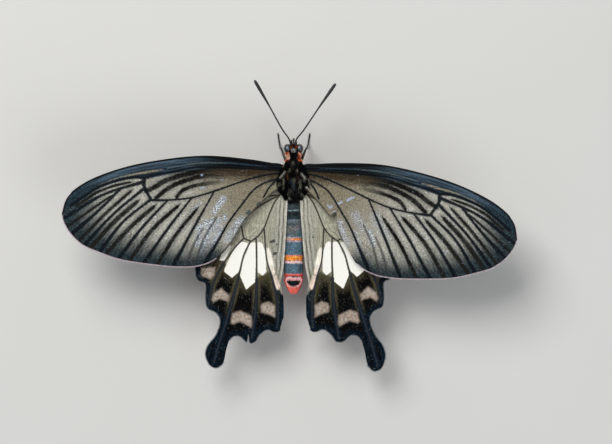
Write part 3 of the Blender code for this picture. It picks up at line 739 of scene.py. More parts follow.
FOREWING_OUTLINE = [           # from the hinge along the front edge, round the tip and back
    (-0.7, -1.4), (2.5, -2.6), (6.1, -3.9), (15.5, -6.5), (25.2, -7.4), (34.1, -7.15), (42.1, -5.5),
    (46.2, -3.2), (48.1, 0.3), (47.6, 3.7), (45.2, 7.5), (41.7, 10.0), (37.7, 12.3), (32.6, 14.2),
    (25.3, 16.3), (21.0, 16.8), (17.6, 16.1), (13.7, 13.4), (9.9, 9.2), (5.3, 5.8), (1.6, 3.7), (-0.7, 2.8),
]
FOREWING_OUTER_EDGE = FOREWING_OUTLINE[7:17]
FOREWING_FRONT_EDGE = FOREWING_OUTLINE[:9]
FOREWING_REAR_EDGE = [(17.6, 16.1), (13.7, 13.4), (9.9, 9.2), (5.3, 5.8), (1.6, 3.7), (-1.6, 2.6)]
FOREWING_NOTCH = {-1: [
    (8.1, 7.6), (8.3, 7.1), (9.1, 6.1), (9.6, 7.2), (9.95, 8.3), (10.3, 9.1), (11.0, 10.3), (11.8, 11.4),
    (13.3, 12.4), (15.0, 14.2), (16.3, 15.4),
]}
FOREWING_VEINS = {
    "subcosta": [(0.0, -1.1), (6.3, -2.9), (12.5, -4.8), (17.0, -6.0), (21.5, -6.8)],
    "radius": [(0.0, -0.4), (6.4, -2.1), (12.8, -3.6), (18.1, -4.4), (26.9, -4.3), (29.2, -4.2)],
    "radius_1": [(15.4, -4.1), (20.1, -5.3), (25.5, -6.1), (30.5, -6.7)],
    "radius_2": [(24.7, -4.4), (28.9, -5.4), (33.2, -6.0), (37.4, -6.4)],
    "radius_3": [
        (29.2, -4.2), (31.1, -4.7), (33.1, -4.8), (36.6, -4.5), (39.3, -4.0), (41.8, -3.1), (45.8, -1.3),
    ],
    "radius_4": [(29.4, -3.4), (38.6, -2.2), (47.7, 1.2)],
    "radius_5": [(34.5, -2.9), (40.2, 1.0), (46.6, 4.8)],
    "cell_end": [(29.2, -4.2), (29.6, -2.4), (29.2, -0.8), (28.6, 0.8)],
    "media_1": [(29.5, -2.0), (37.0, 2.2), (44.5, 7.7)],
    "media_2": [(28.7, 0.7), (35.4, 4.3), (41.6, 9.8)],
    "cubitus": [(0.0, 0.2), (4.2, 0.0), (9.1, 0.5), (14.8, 1.4), (19.9, 1.9), (25.0, 1.5), (28.8, 0.8)],
    "media_3": [(25.1, 1.5), (31.4, 6.1), (37.8, 11.9)],
    "cubitus_1": [(19.9, 1.9), (26.1, 7.4), (32.8, 13.9)],
    "cubitus_2": [(14.9, 1.4), (20.6, 8.2), (26.6, 15.6)],
    "anal": [(0.4, 1.2), (4.5, 1.8), (6.5, 2.7), (9.9, 5.6), (13.1, 8.6), (16.1, 12.1), (19.9, 16.4)],
    "anal_3": [(1.2, 1.5), (3.2, 2.9), (4.7, 4.6)],
}
BAND_VEINS = {"subcosta", "radius_1", "radius_2"}
CELL_PLEATS = [                # each starts at its inner end
    [(7.6, -1.9), (12.9, -3.0), (17.2, -3.4), (21.6, -3.2), (25.0, -2.7), (27.4, -1.8), (29.2, -1.3)],
    [(12.1, -1.0), (16.3, -2.2), (19.6, -2.1), (23.1, -1.5), (25.4, -0.6), (27.4, 0.5)],
    [(12.9, -0.2), (16.6, -0.5), (19.9, -0.4), (21.8, 0.1), (23.1, 1.2)],
]
OUTER_PLEATS = [
    [(31.9, -3.8), (35.4, -3.7), (37.6, -3.4), (40.3, -2.8), (42.0, -2.0), (44.5, -0.9)],
    [(36.6, -1.8), (42.1, 0.7), (47.1, 3.1)],
    [(32.2, -2.1), (38.8, 1.9), (45.2, 6.5)],
    [(31.1, 0.3), (37.2, 3.9), (43.1, 8.4)],
    [(27.8, 2.0), (34.0, 5.7), (40.1, 10.3)],
    [(22.8, 2.9), (29.4, 7.0), (35.4, 12.6)],
    [(18.9, 4.2), (24.6, 9.0), (29.8, 14.5)],
]
FAINT_PLEATS = [
    [(18.6, 8.6), (21.4, 11.9), (23.8, 15.9)],
    [(15.3, 6.8), (19.0, 11.1), (22.1, 16.2)],
]
FRONT_BAND = [                 # the slate-black band in front of the radius
    (-2.0, -0.2), (0.0, -0.2), (6.4, -1.8), (12.8, -3.3), (18.1, -4.0), (26.9, -4.0), (29.2, -4.1),
    (31.1, -4.5), (33.1, -4.6), (36.6, -4.3), (39.3, -3.8), (41.8, -2.9), (44.3, -1.9), (47.5, -0.6),
    (50.0, -0.4), (50.0, -9.0), (-2.0, -9.0),
]
EDGE_DEPTHS = [(12, 3.8), (20, 5.7), (28, 6.7), (36, 8.0), (41, 10.2), (45, 12.5), (48, 14.5)]
PLEAT_WIDTHS = {               # half widths of the dark bars along the pleats
    "cell": (0.54, 0.5, 0.42),
    "outer": (0.3, 0.27, 0.36, 0.5, 0.46, 0.44, 0.4),
    "faint": (0.26, 0.26),
}
TAN_WEDGE = [
    (24.6, -5.2), (27.2, -5.45), (28.9, -5.5), (30.7, -5.5), (32.6, -5.5), (34.6, -5.35), (36.7, -5.05),
    (39.4, -4.4), (36.5, -4.85), (34.5, -5.15), (32.7, -5.2), (30.8, -5.15), (29.1, -5.05), (27.5, -5.05),
]
TEAL_STREAK = [(1.6, -1.2), (4.2, -2.1), (6.8, -2.9), (10.5, -3.9), (15.0, -4.9), (20.0, -5.4), (24.0, -5.3)]
# painted glints, where light on the scales is painted as bright points
PAINTED_GLINTS = {                     # places where the scales glint: from, to, half width and strength
    1: [
        (13.2, 3.3, 15.9, 5.9, 0.6, 0.95), (17.6, 7.7, 19.5, 8.5, 0.5, 1.0),
        (19.5, 8.5, 20.6, 12.1, 0.55, 1.0), (16.4, 7.4, 18.2, 10.5, 0.5, 1.0),
        (18.2, 10.5, 20.2, 14.0, 0.5, 1.0), (14.9, 7.6, 16.5, 9.6, 0.5, 0.85),
        (13.7, 7.1, 13.7, 7.9, 0.4, 0.9), (15.0, 9.9, 16.7, 11.8, 0.4, 1.0),
        (16.7, 11.8, 18.1, 14.9, 0.4, 1.0), (17.0, 8.4, 19.2, 12.6, 1.1, 0.4),
        (14.8, 8.6, 17.4, 13.0, 0.8, 0.45), (10.4, 8.7, 13.9, 12.0, 1.0, 0.65),
        (18.4, 3.4, 20.9, 4.9, 0.4, 0.5), (9.9, 8.6, 10.5, 9.4, 0.5, 0.8),
    ],
    -1: [
        (10.5, 8.4, 13.0, 12.3, 1.0, 0.6), (13.3, 5.6, 15.5, 7.8, 1.0, 0.45),
        (17.3, 8.2, 19.0, 10.8, 0.6, 0.75), (17.6, 4.6, 21.2, 7.8, 1.3, 0.4),
        (14.5, 9.5, 16.5, 13.0, 0.8, 0.45),
    ],
}
SCRAPES = {                    # pale places where scales are rubbed off: from, to, half width and strength
    1: [
        (16.8, -2.5, 17.1, -2.5, 0.18, 1.0), (12.6, -0.8, 13.4, -0.6, 0.16, 0.8),
        (17.0, 0.2, 17.9, 0.3, 0.2, 0.6),
    ],
    -1: [
        (6.9, 5.3, 7.8, 5.9, 0.18, 0.9), (7.5, 5.7, 8.0, 5.2, 0.2, 1.0), (9.1, 4.3, 9.6, 3.8, 0.24, 1.0),
        (10.6, 3.1, 11.7, 2.1, 0.26, 1.0), (8.2, 6.7, 9.0, 5.95, 0.1, 0.9),
        (10.7, -3.2, 10.8, -3.2, 0.14, 0.9), (11.2, -2.8, 11.3, -2.8, 0.12, 0.9),
    ],
}
SMUDGES = {                    # dark places along the inner edge
    1: [(5.9, 5.7, 6.3, 5.9, 0.34, 0.9), (8.4, 7.2, 8.7, 7.4, 0.42, 1.0), (9.2, 8.5, 9.5, 8.9, 0.36, 0.9)],
    -1: [(9.9, 8.4, 10.3, 9.2, 0.24, 0.8)],
}


def nearest(places, points):
    """Which of some points of a wing's plan is nearest to each place, and how far off it is."""
    tree = kdtree.KDTree(len(points))
    for i, (u, v) in enumerate(points):
        tree.insert((u, v, 0.0), i)
    tree.balance()
    found = [tree.find((u, v, 0.0)) for u, v in places]
    return np.array([i for _, i, _ in found]), np.array([gap for _, _, gap in found])


def line_distance(places, lines):
    """Distance from each place of a wing's plan to the nearest of several lines."""
    return nearest(places, np.concatenate([spaced(line, FIELD_STEP) for line in lines]))[1]


def pleat_distance(places, lines, halves):
    """Distance to the nearest pleat in its half widths, plain and with a sign that swaps across it."""
    plain = np.full(len(places), 99.0)
    signed = np.full(len(places), 99.0)
    for turn, (line, half) in enumerate(zip(lines, halves)):
        points = spaced(line, FIELD_STEP)
        i, gap = nearest(places, points)
        ahead = np.gradient(points, axis=0)[i]
        offset = places - points[i]
        hand = np.sign(ahead[:, 0] * offset[:, 1] - ahead[:, 1] * offset[:, 0]) * (-1) ** turn
        along = i / len(points)
        swelling = 0.76 + 0.24 * ease(0.0, 0.25, along) - 0.1 * ease(0.75, 1.0, along)
        size = gap / (half * swelling) + 0.9 * ease(0.045, 0.0, along)
        signed = np.where(size < plain, size * hand, signed)
        plain = np.minimum(plain, size)
    return plain, signed


def mark_distance(places, start, end):
    """Distance from each place to a short straight mark."""
    run = np.subtract(end, start)
    offset = places - start
    share = np.clip(offset @ run / (run @ run), 0.0, 1.0)
    return np.linalg.norm(offset - share[:, None] * run, axis=1)


def mark_strength(places, marks):
    """How strongly each place of a wing's plan shows some short soft marks, from 0 to 1."""
    shown = np.zeros(len(places))
    for *ends, half, strength in marks:
        gap = mark_distance(places, ends[:2], ends[2:])
        shown = np.maximum(shown, strength * ease(1.5, 0.5, gap / half))
    return shown


def area_distance(places, outline):
    """Distance from each place of a wing's plan to an area's edge, negative inside it."""
    corners = np.array([*outline, outline[0]], float)
    u, v = places.T
    crossings = np.zeros(len(places), int)
    for (start_u, start_v), (end_u, end_v) in zip(corners, corners[1:]):
        spans = (start_v > v) != (end_v > v)
        rise = end_v - start_v if end_v != start_v else 1.0
        crossings += spans & (start_u + (v - start_v) / rise * (end_u - start_u) > u)
    gap = line_distance(places, [corners])
    return np.where(crossings % 2, -gap, gap)


def wing_outline(points, fringed, notch):
    """Smooth a wing's outline, draw it back along the fringe, and cut its notch, if it has one."""
    outline = smooth_line(points, 0.35, closed=True)
    ahead = np.roll(outline, -1, axis=0) - np.roll(outline, 1, axis=0)
    inward = np.stack([-ahead[:, 1], ahead[:, 0]], axis=1) / np.linalg.norm(ahead, axis=1)[:, None]
    outline = outline + inward * (0.03 + FRINGE * ease(1.5, 0.3, line_distance(outline, [fringed])))[:, None]
    if notch:
        ends = [int(np.hypot(*(outline - place).T).argmin()) for place in (notch[0], notch[-1])]
        first, last = min(ends), max(ends)
        cut = notch if ends[0] < ends[1] else notch[::-1]
        outline = np.concatenate([outline[:first], np.array(cut), outline[last + 1:]])
    return outline


def cut_plan(outline):
    """Fill an outline and cut it into small squares, then give it the membrane's thickness."""
    bm = bmesh.new()
    rim = [bm.verts.new((u, v, 0.0)) for u, v in outline]
    bm.faces.new(rim)
    low, high = outline.min(axis=0), outline.max(axis=0)
    for axis, normal in enumerate(((1.0, 0.0, 0.0), (0.0, 1.0, 0.0))):
        for place in np.arange(math.ceil(low[axis]), high[axis], CELL):
            everything = bm.verts[:] + bm.edges[:] + bm.faces[:]
            bmesh.ops.bisect_plane(bm, geom=everything, plane_co=Vector(normal) * place, plane_no=normal)
    bmesh.ops.triangulate(bm, faces=[face for face in bm.faces if len(face.verts) > 4])
    bmesh.ops.subdivide_edges(bm, edges=bm.edges[:], cuts=CELL_CUTS, use_grid_fill=True)
    upper = bmesh.ops.extrude_face_region(bm, geom=bm.faces[:])
    for item in upper["geom"]:
        if isinstance(item, bmesh.types.BMVert):
            item.co.z = MEMBRANE
    bmesh.ops.recalc_face_normals(bm, faces=bm.faces)
    return bm


def on_wing(hinge, sweep, side, u, v, z):
    """Turn places on a wing's plan, with their heights, into places on the animal."""
    turn = math.radians(sweep)
    x = side * (hinge[0] + u * math.cos(turn) - v * math.sin(turn))
    y = hinge[1] + u * math.sin(turn) + v * math.cos(turn)
    return np.stack([x, y, hinge[2] + z], axis=-1)


def forewing_height(u, v):
    """Rise of the forewing's middle surface above its hinge."""
    middle, bend = FOREWING_CAMBER
    return FOREWING_RISE * u - bend * (v - middle) ** 2 + bend * middle ** 2


def wing_relief(places, veins, pleats):
    """Small heights of a membrane: up at its veins, down at its pleats, and gently waved."""
    relief = VEIN_RISE * np.exp(-(line_distance(places, veins) / VEIN_BLUR) ** 2)
    if pleats:
        relief = relief - PLEAT_DEPTH * np.exp(-(line_distance(places, pleats) / PLEAT_BLUR) ** 2)
    u, v = places.T
    waves = np.sin(0.42 * u + 0.3 * v) * np.sin(0.31 * v - 0.12 * u + 0.7)
    return relief + WAVE * waves * ease(4.0, 14.0, np.hypot(u, v))


def add_membrane(name, plan, material, placing, fields):
    """Bend a flat wing plan into place, and store its fields and its bake map."""
    mesh = bpy.data.meshes.new(name)
    plan.to_mesh(mesh)
    plan.free()
    points = mesh_points(mesh)
    flat = points[:, :2]
    for field, values in fields(flat, points[:, 2] > MEMBRANE / 2).items():
        number_points(mesh, field, values)
    corners = np.empty(len(mesh.loops), int)
    mesh.loops.foreach_get("vertex_index", corners)
    low = flat.min(axis=0)
    span = (flat.max(axis=0) - low).max() * 1.02
    spots = (flat - low) / span + 0.004
    if np.ptp(flat[:, 1]) > np.ptp(flat[:, 0]):
        spots = spots[:, ::-1].copy()
    spots[points[:, 2] > MEMBRANE / 2, 1] += 0.5
    bake_map = mesh.uv_layers.new(name="OFBake")
    bake_map.data.foreach_set("uv", spots[corners].ravel())
    bent = placing(flat, points[:, 2])
    mesh.vertices.foreach_set("co", bent.ravel())
    if name.endswith("right"):
        mesh.flip_normals()
    mesh.shade_smooth()
    return show(name, mesh, material)


def smooth_lines(lines):
    """Pass a smooth line through each of several rows of points."""
    return [smooth_line(line, LINE_STEP) for line in lines]


fine_veins = smooth_lines(FOREWING_VEINS.values())
main_veins = smooth_lines(line for name, line in FOREWING_VEINS.items() if name not in BAND_VEINS)
fine_pleats = smooth_lines(CELL_PLEATS + OUTER_PLEATS)
faint_pleats = smooth_lines(FAINT_PLEATS)


def edge_distance(places, edge):
    """Distance from each place of a wing's plan to one of the wing's edges."""
    return line_distance(places, [smooth_line(edge, 1.0)])


def forewing_fields(flat, upper):
    """What the forewing's finish reads at each point of its plan, in millimetres or shares."""
    u, v = flat.T
    plain, signed = pleat_distance(flat, fine_pleats, PLEAT_WIDTHS["cell"] + PLEAT_WIDTHS["outer"])
    return {
        "vein": line_distance(flat, main_veins),
        "cubitus": line_distance(flat, [FOREWING_VEINS["cubitus"]]),
        "cell_end": line_distance(flat, [FOREWING_VEINS["cell_end"]]),
        "plain_pleat": plain,
        "signed_pleat": signed,
        "faint": pleat_distance(flat, faint_pleats, PLEAT_WIDTHS["faint"])[0],
        "tan": area_distance(flat, TAN_WEDGE),
        "teal": line_distance(flat, [TEAL_STREAK]),
        "scrape": mark_strength(flat, SCRAPES[side]),
        "smudge": mark_strength(flat, SMUDGES[side]),
        "band": area_distance(flat, FRONT_BAND),
        "outer": edge_distance(flat, FOREWING_OUTER_EDGE) / np.interp(u, *zip(*EDGE_DEPTHS)),
        "rear": edge_distance(flat, FOREWING_REAR_EDGE),
        "front": edge_distance(flat, FOREWING_FRONT_EDGE),
        "reach": np.hypot(u, v),
        "out": u,
        "glint": mark_strength(flat, PAINTED_GLINTS[side]),
    }


veil = Finish("forewing_scales", Specular_IOR_Level=0.045)
vein, faint, tan, teal = veil.fields("vein", "faint", "tan", "teal")
band, outer, rear, front = veil.fields("band", "outer", "rear", "front")
reach, out, glint, scrape, smudge = veil.fields("reach", "out", "glint", "scrape", "smudge")
plain_pleat = veil.field("plain_pleat") - 0.6
pleat = veil.number("MAXIMUM", veil.number("ABSOLUTE", veil.field("signed_pleat")), plain_pleat)
lie = veil.add("ShaderNodeCombineXYZ", {0: pleat, 1: reach * 0.16, 2: vein}).outputs[0]
strokes = veil.grain(0.3, 2.0, along=lie)
dusting = veil.grain(0.26, 3.0)
patchy = veil.grain(3.5, 2.0)
# pale scales: taupe by the hinge, paler further out, brown under the radius in the inner half
tint = veil.mix(veil.ease(reach, 8.0, 28.0), colour(132, 124, 104), colour(181, 179, 168))
tint = veil.mix(veil.ease(patchy, 0.4, 0.65, 0.0, 0.4), tint, colour(136, 130, 112))
browned = band + (strokes - 0.5) * 3.2
brown = veil.ease(browned, 3.7, 0.9) * veil.ease(out, 31.0, 15.0)
tint = veil.mix(brown, tint, colour(57, 45, 28))
tint = veil.scaled(tint, veil.ease(dusting, 0.28, 0.72, 0.62, 1.34))
tint = veil.scaled(tint, veil.ease(strokes, 0.3, 0.7, 0.84, 1.1))
# single scales that catch the light, in loose clusters
cluster = veil.ease(veil.grain(2.0, 1.0), 0.46, 0.62, 0.25, 1.0)
sparks = veil.ease(veil.grain(0.28, 0.0), 0.63, 0.7) * veil.ease(reach, 14.0, 24.0, 0.0, 0.95)
tint = veil.mix(sparks * cluster, tint, colour(236, 238, 238))
# painted glints: rows of bright points among dark ones, along the veins, painted where the scales catch the
# light
rows = veil.ease(veil.grain(0.5, 1.0, along=lie), 0.36, 0.52, 0.45, 1.0)
points = veil.mix(veil.ease(veil.grain(0.24, 1.0), 0.46, 0.6), colour(112, 120, 126), colour(236, 243, 255))
tint = veil.mix(glint * rows, tint, points)
# soft shade beside pleats and veins, which lie in folds
beside = veil.number("MAXIMUM", veil.ease(pleat, 3.4, 1.0, 0.0, 0.45), veil.ease(vein, 0.9, 0.2, 0.0, 0.45))
beside = beside * veil.ease(reach, 12.0, 26.0, 0.2, 1.0)
tint = veil.mix(beside, tint, veil.scaled(colour(92, 96, 92), veil.ease(dusting, 0.28, 0.72, 0.62, 1.34)))
# slate-black outer edge and tip, which the pale stripes fade into: black scales whose slate-blue tone is
# partly a painted reflection of the sky
slate = veil.mix(veil.ease(dusting, 0.42, 0.7), colour(6, 19, 26), colour(46, 68, 76))
ragged = (strokes - 0.5) * 0.6
tint = veil.mix(veil.ease(outer + ragged, 1.15, 0.12, 0.0, 0.97), tint, slate)
# dark pleats, thin by the hinge and wide further out, each fading into the dark edge
wander = (dusting - 0.5) * 0.3
sway = (veil.grain(0.3, 2.0) - 0.5) * 1.3
fold = veil.ease(pleat + sway, 0.62, 1.42, 1.0, 0.0)
patches = veil.ease(veil.grain(1.6, 1.0), 0.34, 0.56, 0.93, 1.0)
fold = fold * (patches * veil.ease(reach, 11.5, 19.0, 0.3, 1.0))
bar = veil.mix(veil.ease(out, 24.0, 31.0), colour(13, 12, 9), colour(27, 27, 23))
tint = veil.mix(fold, tint, veil.scaled(bar, veil.ease(dusting, 0.3, 0.7, 0.65, 1.35)))
fold = veil.ease(faint + sway, 0.3, 1.8, 0.75, 0.0)
tint = veil.mix(fold, tint, colour(54, 54, 52))
# blue-black scales along the veins, which widen where they meet the dark edge
beyond = veil.ease(reach, 12.0, 24.0) * veil.ease(veil.field("cubitus"), 0.6, 5.0)
halo = vein + wander - (beyond * 0.1 + 0.08)
halo = halo - veil.ease(outer, 1.0, 0.1, 0.0, 0.1)
halo = halo - veil.ease(veil.field("cell_end"), 4.5, 0.4, 0.0, 0.1)
tint = veil.mix(veil.ease(halo, 0.02, 0.25, 0.96, 0.0), tint, colour(9, 18, 25))
tint = veil.mix(veil.ease(rear, 0.5, 0.1, 0.0, 0.8), tint, colour(40, 36, 32))
blot = (veil.grain(0.35, 2.0) - 0.5) * 2.2
tint = veil.mix(veil.ease(smudge + blot, 0.3, 0.8, 0.0, 0.8), tint, colour(50, 66, 76))
tint = veil.mix(veil.ease(scrape + blot, 0.3, 0.9, 0.0, 0.8), tint, colour(172, 184, 212))
# slate-black band along the front edge, with paler strokes that run along it; its slate-blue tone is partly
# a painted reflection of the sky, and a painted sheen lies near the front edge
along_band = veil.add("ShaderNodeCombineXYZ", {0: front, 1: out * 0.05}).outputs[0]
band_strokes = veil.grain(0.4, 2.0, along=along_band)
band_tint = veil.mix(veil.ease(band_strokes, 0.4, 0.62), colour(20, 32, 41), colour(60, 77, 90))
painted_sheen = veil.ease(front, 0.35, 0.7) * veil.ease(front, 1.5, 0.9)
painted_sheen = painted_sheen * veil.ease(out, 10.0, 19.0, 0.0, 0.8)
painted_sheen = painted_sheen * veil.ease(band_strokes, 0.36, 0.56, 0.45, 1.0)
band_tint = veil.mix(painted_sheen, band_tint, colour(78, 96, 112))
band_tint = veil.mix(veil.ease(out, 22.0, 11.0, 0.0, 0.97), band_tint, colour(3, 4, 6))
band_tint = veil.scaled(band_tint, veil.ease(dusting, 0.25, 0.75, 0.7, 1.3))
teal_share = veil.ease(teal, 0.26, 0.08) * veil.ease(dusting, 0.4, 0.6, 0.3, 0.9)
streak = veil.mix(veil.ease(out, 8.0, 15.0), colour(44, 60, 76), colour(84, 98, 98))
band_tint = veil.mix(teal_share * veil.ease(out, 1.5, 5.0), band_tint, streak)
tan_share = veil.ease(tan + wander * 2.0, 0.12, -0.14, 0.0, 0.85)
tan_tint = veil.mix(veil.ease(out, 30.0, 36.0), colour(152, 143, 124), colour(130, 132, 124))
tan_tint = veil.scaled(tan_tint, veil.ease(strokes, 0.35, 0.65, 0.75, 1.2))
band_tint = veil.mix(veil.ease(out, 35.0, 45.0, 0.0, 0.85), band_tint, slate)
band_tint = veil.mix(tan_share, band_tint, tan_tint)
band_tint = veil.mix(veil.ease(front, 0.5, 0.2), band_tint, colour(9, 11, 14))
band_tint = veil.mix(veil.ease(vein, 0.34, 0.14, 0.0, 0.9), band_tint, colour(8, 13, 18))
tint = veil.mix(veil.ease(band + wander, 0.3, -0.1), tint, band_tint)
gloss = veil.ease(dusting, 0.3, 0.7, 0.46, 0.66)
forewing_finish = veil.wear(tint, gloss, dusting + strokes * 0.6, 0.03)

for side, word in SIDES:
    hinge, sweep = FOREWING_HINGES[side], FOREWING_SWEEP[side]

    def forewing_place(flat, layer):
        """Put places of the forewing's plan where they are on this side of the animal."""
        rise = forewing_height(*flat.T) + wing_relief(flat, fine_veins, fine_pleats)
        return on_wing(hinge, sweep, side, *flat.T, rise + layer - MEMBRANE / 2)

    edge_line = wing_outline(FOREWING_OUTLINE, FOREWING_OUTER_EDGE, FOREWING_NOTCH.get(side))
    name = f"forewing_membrane_{word}"
    piece = add_membrane(name, cut_plan(edge_line), forewing_finish, forewing_place, forewing_fields)
    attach(piece, "root")
    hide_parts(f"forewing_{word}")


# The forewing veins. They are tubes of dark chitin that stiffen the membrane, thick at the
# hinge and thin at the edge, and stand out on both faces. The thickest is the front edge.
VEIN_RADII = (0.12, 0.075)
FRONT_RADII = (0.26, 0.12)
VEIN_REACH = 45.0              # from the hinge to where a vein is at its thinnest
VEIN_STEP = 0.5
VEIN_SIDES = 8
VEIN_BLACK = colour(9, 12, 15)
BAND_VEIN_SLATE = colour(24, 33, 41)


def add_vein(bm, line, radii, placing, share=1.0):
    """Lay one tapering vein, of a share of its width, along a wing's plan, and count its points."""
    path = smooth_line(line, VEIN_STEP)
    along = np.clip(np.hypot(*path.T) / VEIN_REACH, 0.0, 1.0)
    sizes = share * (radii[0] + (radii[1] - radii[0]) * along)
    sizes[-1] *= 0.5
    before = len(bm.verts)
    add_tube(bm, placing(path, MEMBRANE / 2), sizes, VEIN_SIDES)
    return len(bm.verts) - before


rib = Finish("vein_chitin", Specular_IOR_Level=0.12)
rib_dust = rib.grain(0.2, 2.0)
vein_finish = rib.wear(
    rib.scaled(rib.painted(), rib.ease(rib_dust, 0.35, 0.7, 0.7, 1.6)),
    rib.ease(rib_dust, 0.3, 0.7, 0.45, 0.65),
    rib_dust,
    0.012,
)
for side, word in SIDES:
    hinge, sweep = FOREWING_HINGES[side], FOREWING_SWEEP[side]
    veins = bmesh.new()
    paints = []
    for name, line in FOREWING_VEINS.items():
        in_band = name in BAND_VEINS
        count = add_vein(veins, line, VEIN_RADII, forewing_place, 0.7 if in_band else 1.0)
        paints.append(np.tile(BAND_VEIN_SLATE if in_band else VEIN_BLACK, (count, 1)))
    front_line = [(u - 0.1, v + 0.22) for u, v in FOREWING_FRONT_EDGE]
    count = add_vein(veins, front_line, FRONT_RADII, forewing_place)
    paints.append(np.tile(VEIN_BLACK, (count, 1)))
    piece = add_piece(f"forewing_veins_{word}", veins, vein_finish)
    paint_points(piece.data, np.concatenate(paints))
    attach(piece, "root")


# The hindwings. They are softer and rounder, with a scalloped edge and a spoon-shaped tail. The
# scales are grey-green inside, white in four long patches behind the cell, then velvet black
# with four pink-brown spots, and blue-black along veins and edge.
HINDWING_HINGE = (2.7, 3.9, 11.75)
HINDWING_SWEEP = {1: 0.0, -1: -1.3}
HINDWING_RISE = 0.055
HINDWING_DROOP = (6.0, 0.0032)
TAIL_START = (9.5, 31.0)
TAIL_LENGTH = 8.0
TAIL_EXTRA = {1: 0.0, -1: 1.1}
HINDWING_OUTLINE = [           # from the hinge along the front edge, round the tail and back
    (-1.2, 0.2), (0.4, -0.6), (4.1, 0.0), (8.9, 1.7), (13.2, 5.0), (16.4, 9.1), (18.4, 13.0), (18.9, 17.0),
    (18.1, 19.6), (16.7, 20.4), (16.5, 23.8), (16.1, 25.7), (14.2, 26.9), (13.4, 28.4), (14.2, 31.2),
    (16.2, 33.8), (16.7, 35.9), (15.6, 38.3), (14.0, 38.9), (12.4, 37.7), (11.6, 34.6), (10.6, 32.2),
    (9.2, 32.0), (7.6, 33.2), (5.8, 33.2), (4.6, 31.7), (3.0, 30.6), (1.7, 31.0), (0.4, 30.8),
    (-0.4, 29.0), (-0.5, 23.4), (0.05, 20.4), (-0.5, 17.0), (-0.95, 12.0), (-1.25, 6.0), (-1.4, 2.6),
]
HINDWING_OUTER_EDGE = HINDWING_OUTLINE[6:30]
HINDWING_INNER_EDGE = HINDWING_OUTLINE[30:]
HINDWING_NOTCH = {1: [(7.5, 33.1), (7.3, 32.4), (7.2, 31.3), (6.9, 31.4), (6.8, 32.4), (6.7, 33.2)]}
HINDWING_VEINS = {
    "subcosta": [(0.2, 1.0), (4.1, 1.6), (8.9, 3.8), (13.8, 8.0), (17.0, 12.4)],
    "radius": [(0.2, 1.0), (4.1, 3.1), (6.7, 5.0), (8.7, 6.9), (12.1, 8.8), (15.4, 11.9), (17.9, 15.4)],
    "cubitus": [(0.2, 1.0), (1.4, 2.6), (2.4, 4.8), (3.7, 8.2), (5.0, 10.0), (6.5, 11.1)],
    "cell_end": [(6.5, 11.1), (8.0, 10.4), (8.4, 8.9), (8.7, 6.9)],
    "media_1": [(8.6, 7.4), (11.2, 10.0), (13.8, 13.4), (16.2, 16.8), (17.5, 18.8)],
    "media_2": [(8.0, 10.4), (9.7, 12.1), (11.9, 15.1), (13.8, 18.2), (15.1, 21.2), (15.7, 24.9)],
    "media_3": [(6.6, 11.1), (8.0, 13.8), (9.5, 19.9), (11.7, 27.7), (13.5, 33.4), (14.7, 37.6)],
    "cubitus_1": [(5.4, 10.6), (5.3, 17.0), (5.4, 23.8), (6.4, 32.4)],
    "cubitus_2": [(3.7, 8.2), (3.0, 15.6), (1.9, 19.0), (0.9, 23.5), (0.7, 28.0), (0.9, 30.0)],
    "anal": [(0.2, 1.0), (-0.2, 4.3), (0.1, 9.7), (0.5, 14.7), (0.6, 18.0)],
}
PALE_AREA = [                  # the grey-green inner part, up to the white patches
    (-3.0, -2.0), (10.0, -2.0), (13.0, 5.0), (12.5, 10.5), (12.6, 15.0), (10.6, 17.5), (8.8, 18.0),
    (7.5, 20.0), (5.6, 19.0), (4.2, 18.3), (2.6, 17.6), (1.6, 18.2), (0.7, 20.4), (-0.2, 22.4),
    (-3.0, 23.0),
]
WHITE_PATCHES = [
    [(10.9, 12.0), (10.75, 12.3), (11.45, 13.7), (12.3, 15.2), (12.9, 15.3), (13.4, 15.2), (12.0, 11.6)],
    [(9.2, 11.4), (8.2, 11.2), (7.25, 11.5), (7.3, 12.3), (8.25, 14.7), (8.8, 16.6), (9.3, 17.8),
     (10.65, 19.05), (12.3, 17.7), (12.25, 17.0), (10.9, 14.2), (9.9, 12.4)],
    [(6.9, 11.6), (6.0, 11.3), (5.5, 11.5), (5.5, 15.9), (5.7, 20.0), (7.6, 21.6), (8.9, 18.6), (8.1, 14.9),
     (7.1, 12.6)],
    [(5.1, 11.4), (4.6, 11.2), (4.0, 11.7), (3.5, 13.3), (3.3, 15.4), (3.2, 17.7), (4.0, 18.6), (5.1, 17.8)],
]
CREAM_PATCHES = [
    [(3.3, 12.5), (2.7, 12.5), (2.1, 13.6), (1.65, 15.6), (1.35, 17.3), (1.2, 18.5), (2.1, 18.6),
     (2.65, 17.2), (3.05, 15.9), (3.35, 14.0)],
    [(2.0, 18.5), (1.1, 18.4), (0.6, 19.5), (0.1, 20.8), (0.5, 21.8), (1.1, 21.5), (1.7, 19.8)],
]
HINDWING_FLECKS = {            # dark specks of dirt on the grey-green part, as places and strengths
    1: [
        (1.6, 11.0, 2.1, 11.2, 0.34, 1.0), (1.2, 13.6, 1.5, 13.9, 0.28, 1.0),
        (0.9, 11.7, 1.0, 11.9, 0.16, 1.0),
    ],
    -1: [(1.2, 10.2, 1.4, 10.3, 0.14, 0.8), (1.6, 8.6, 1.9, 8.7, 0.12, 0.6)],
}
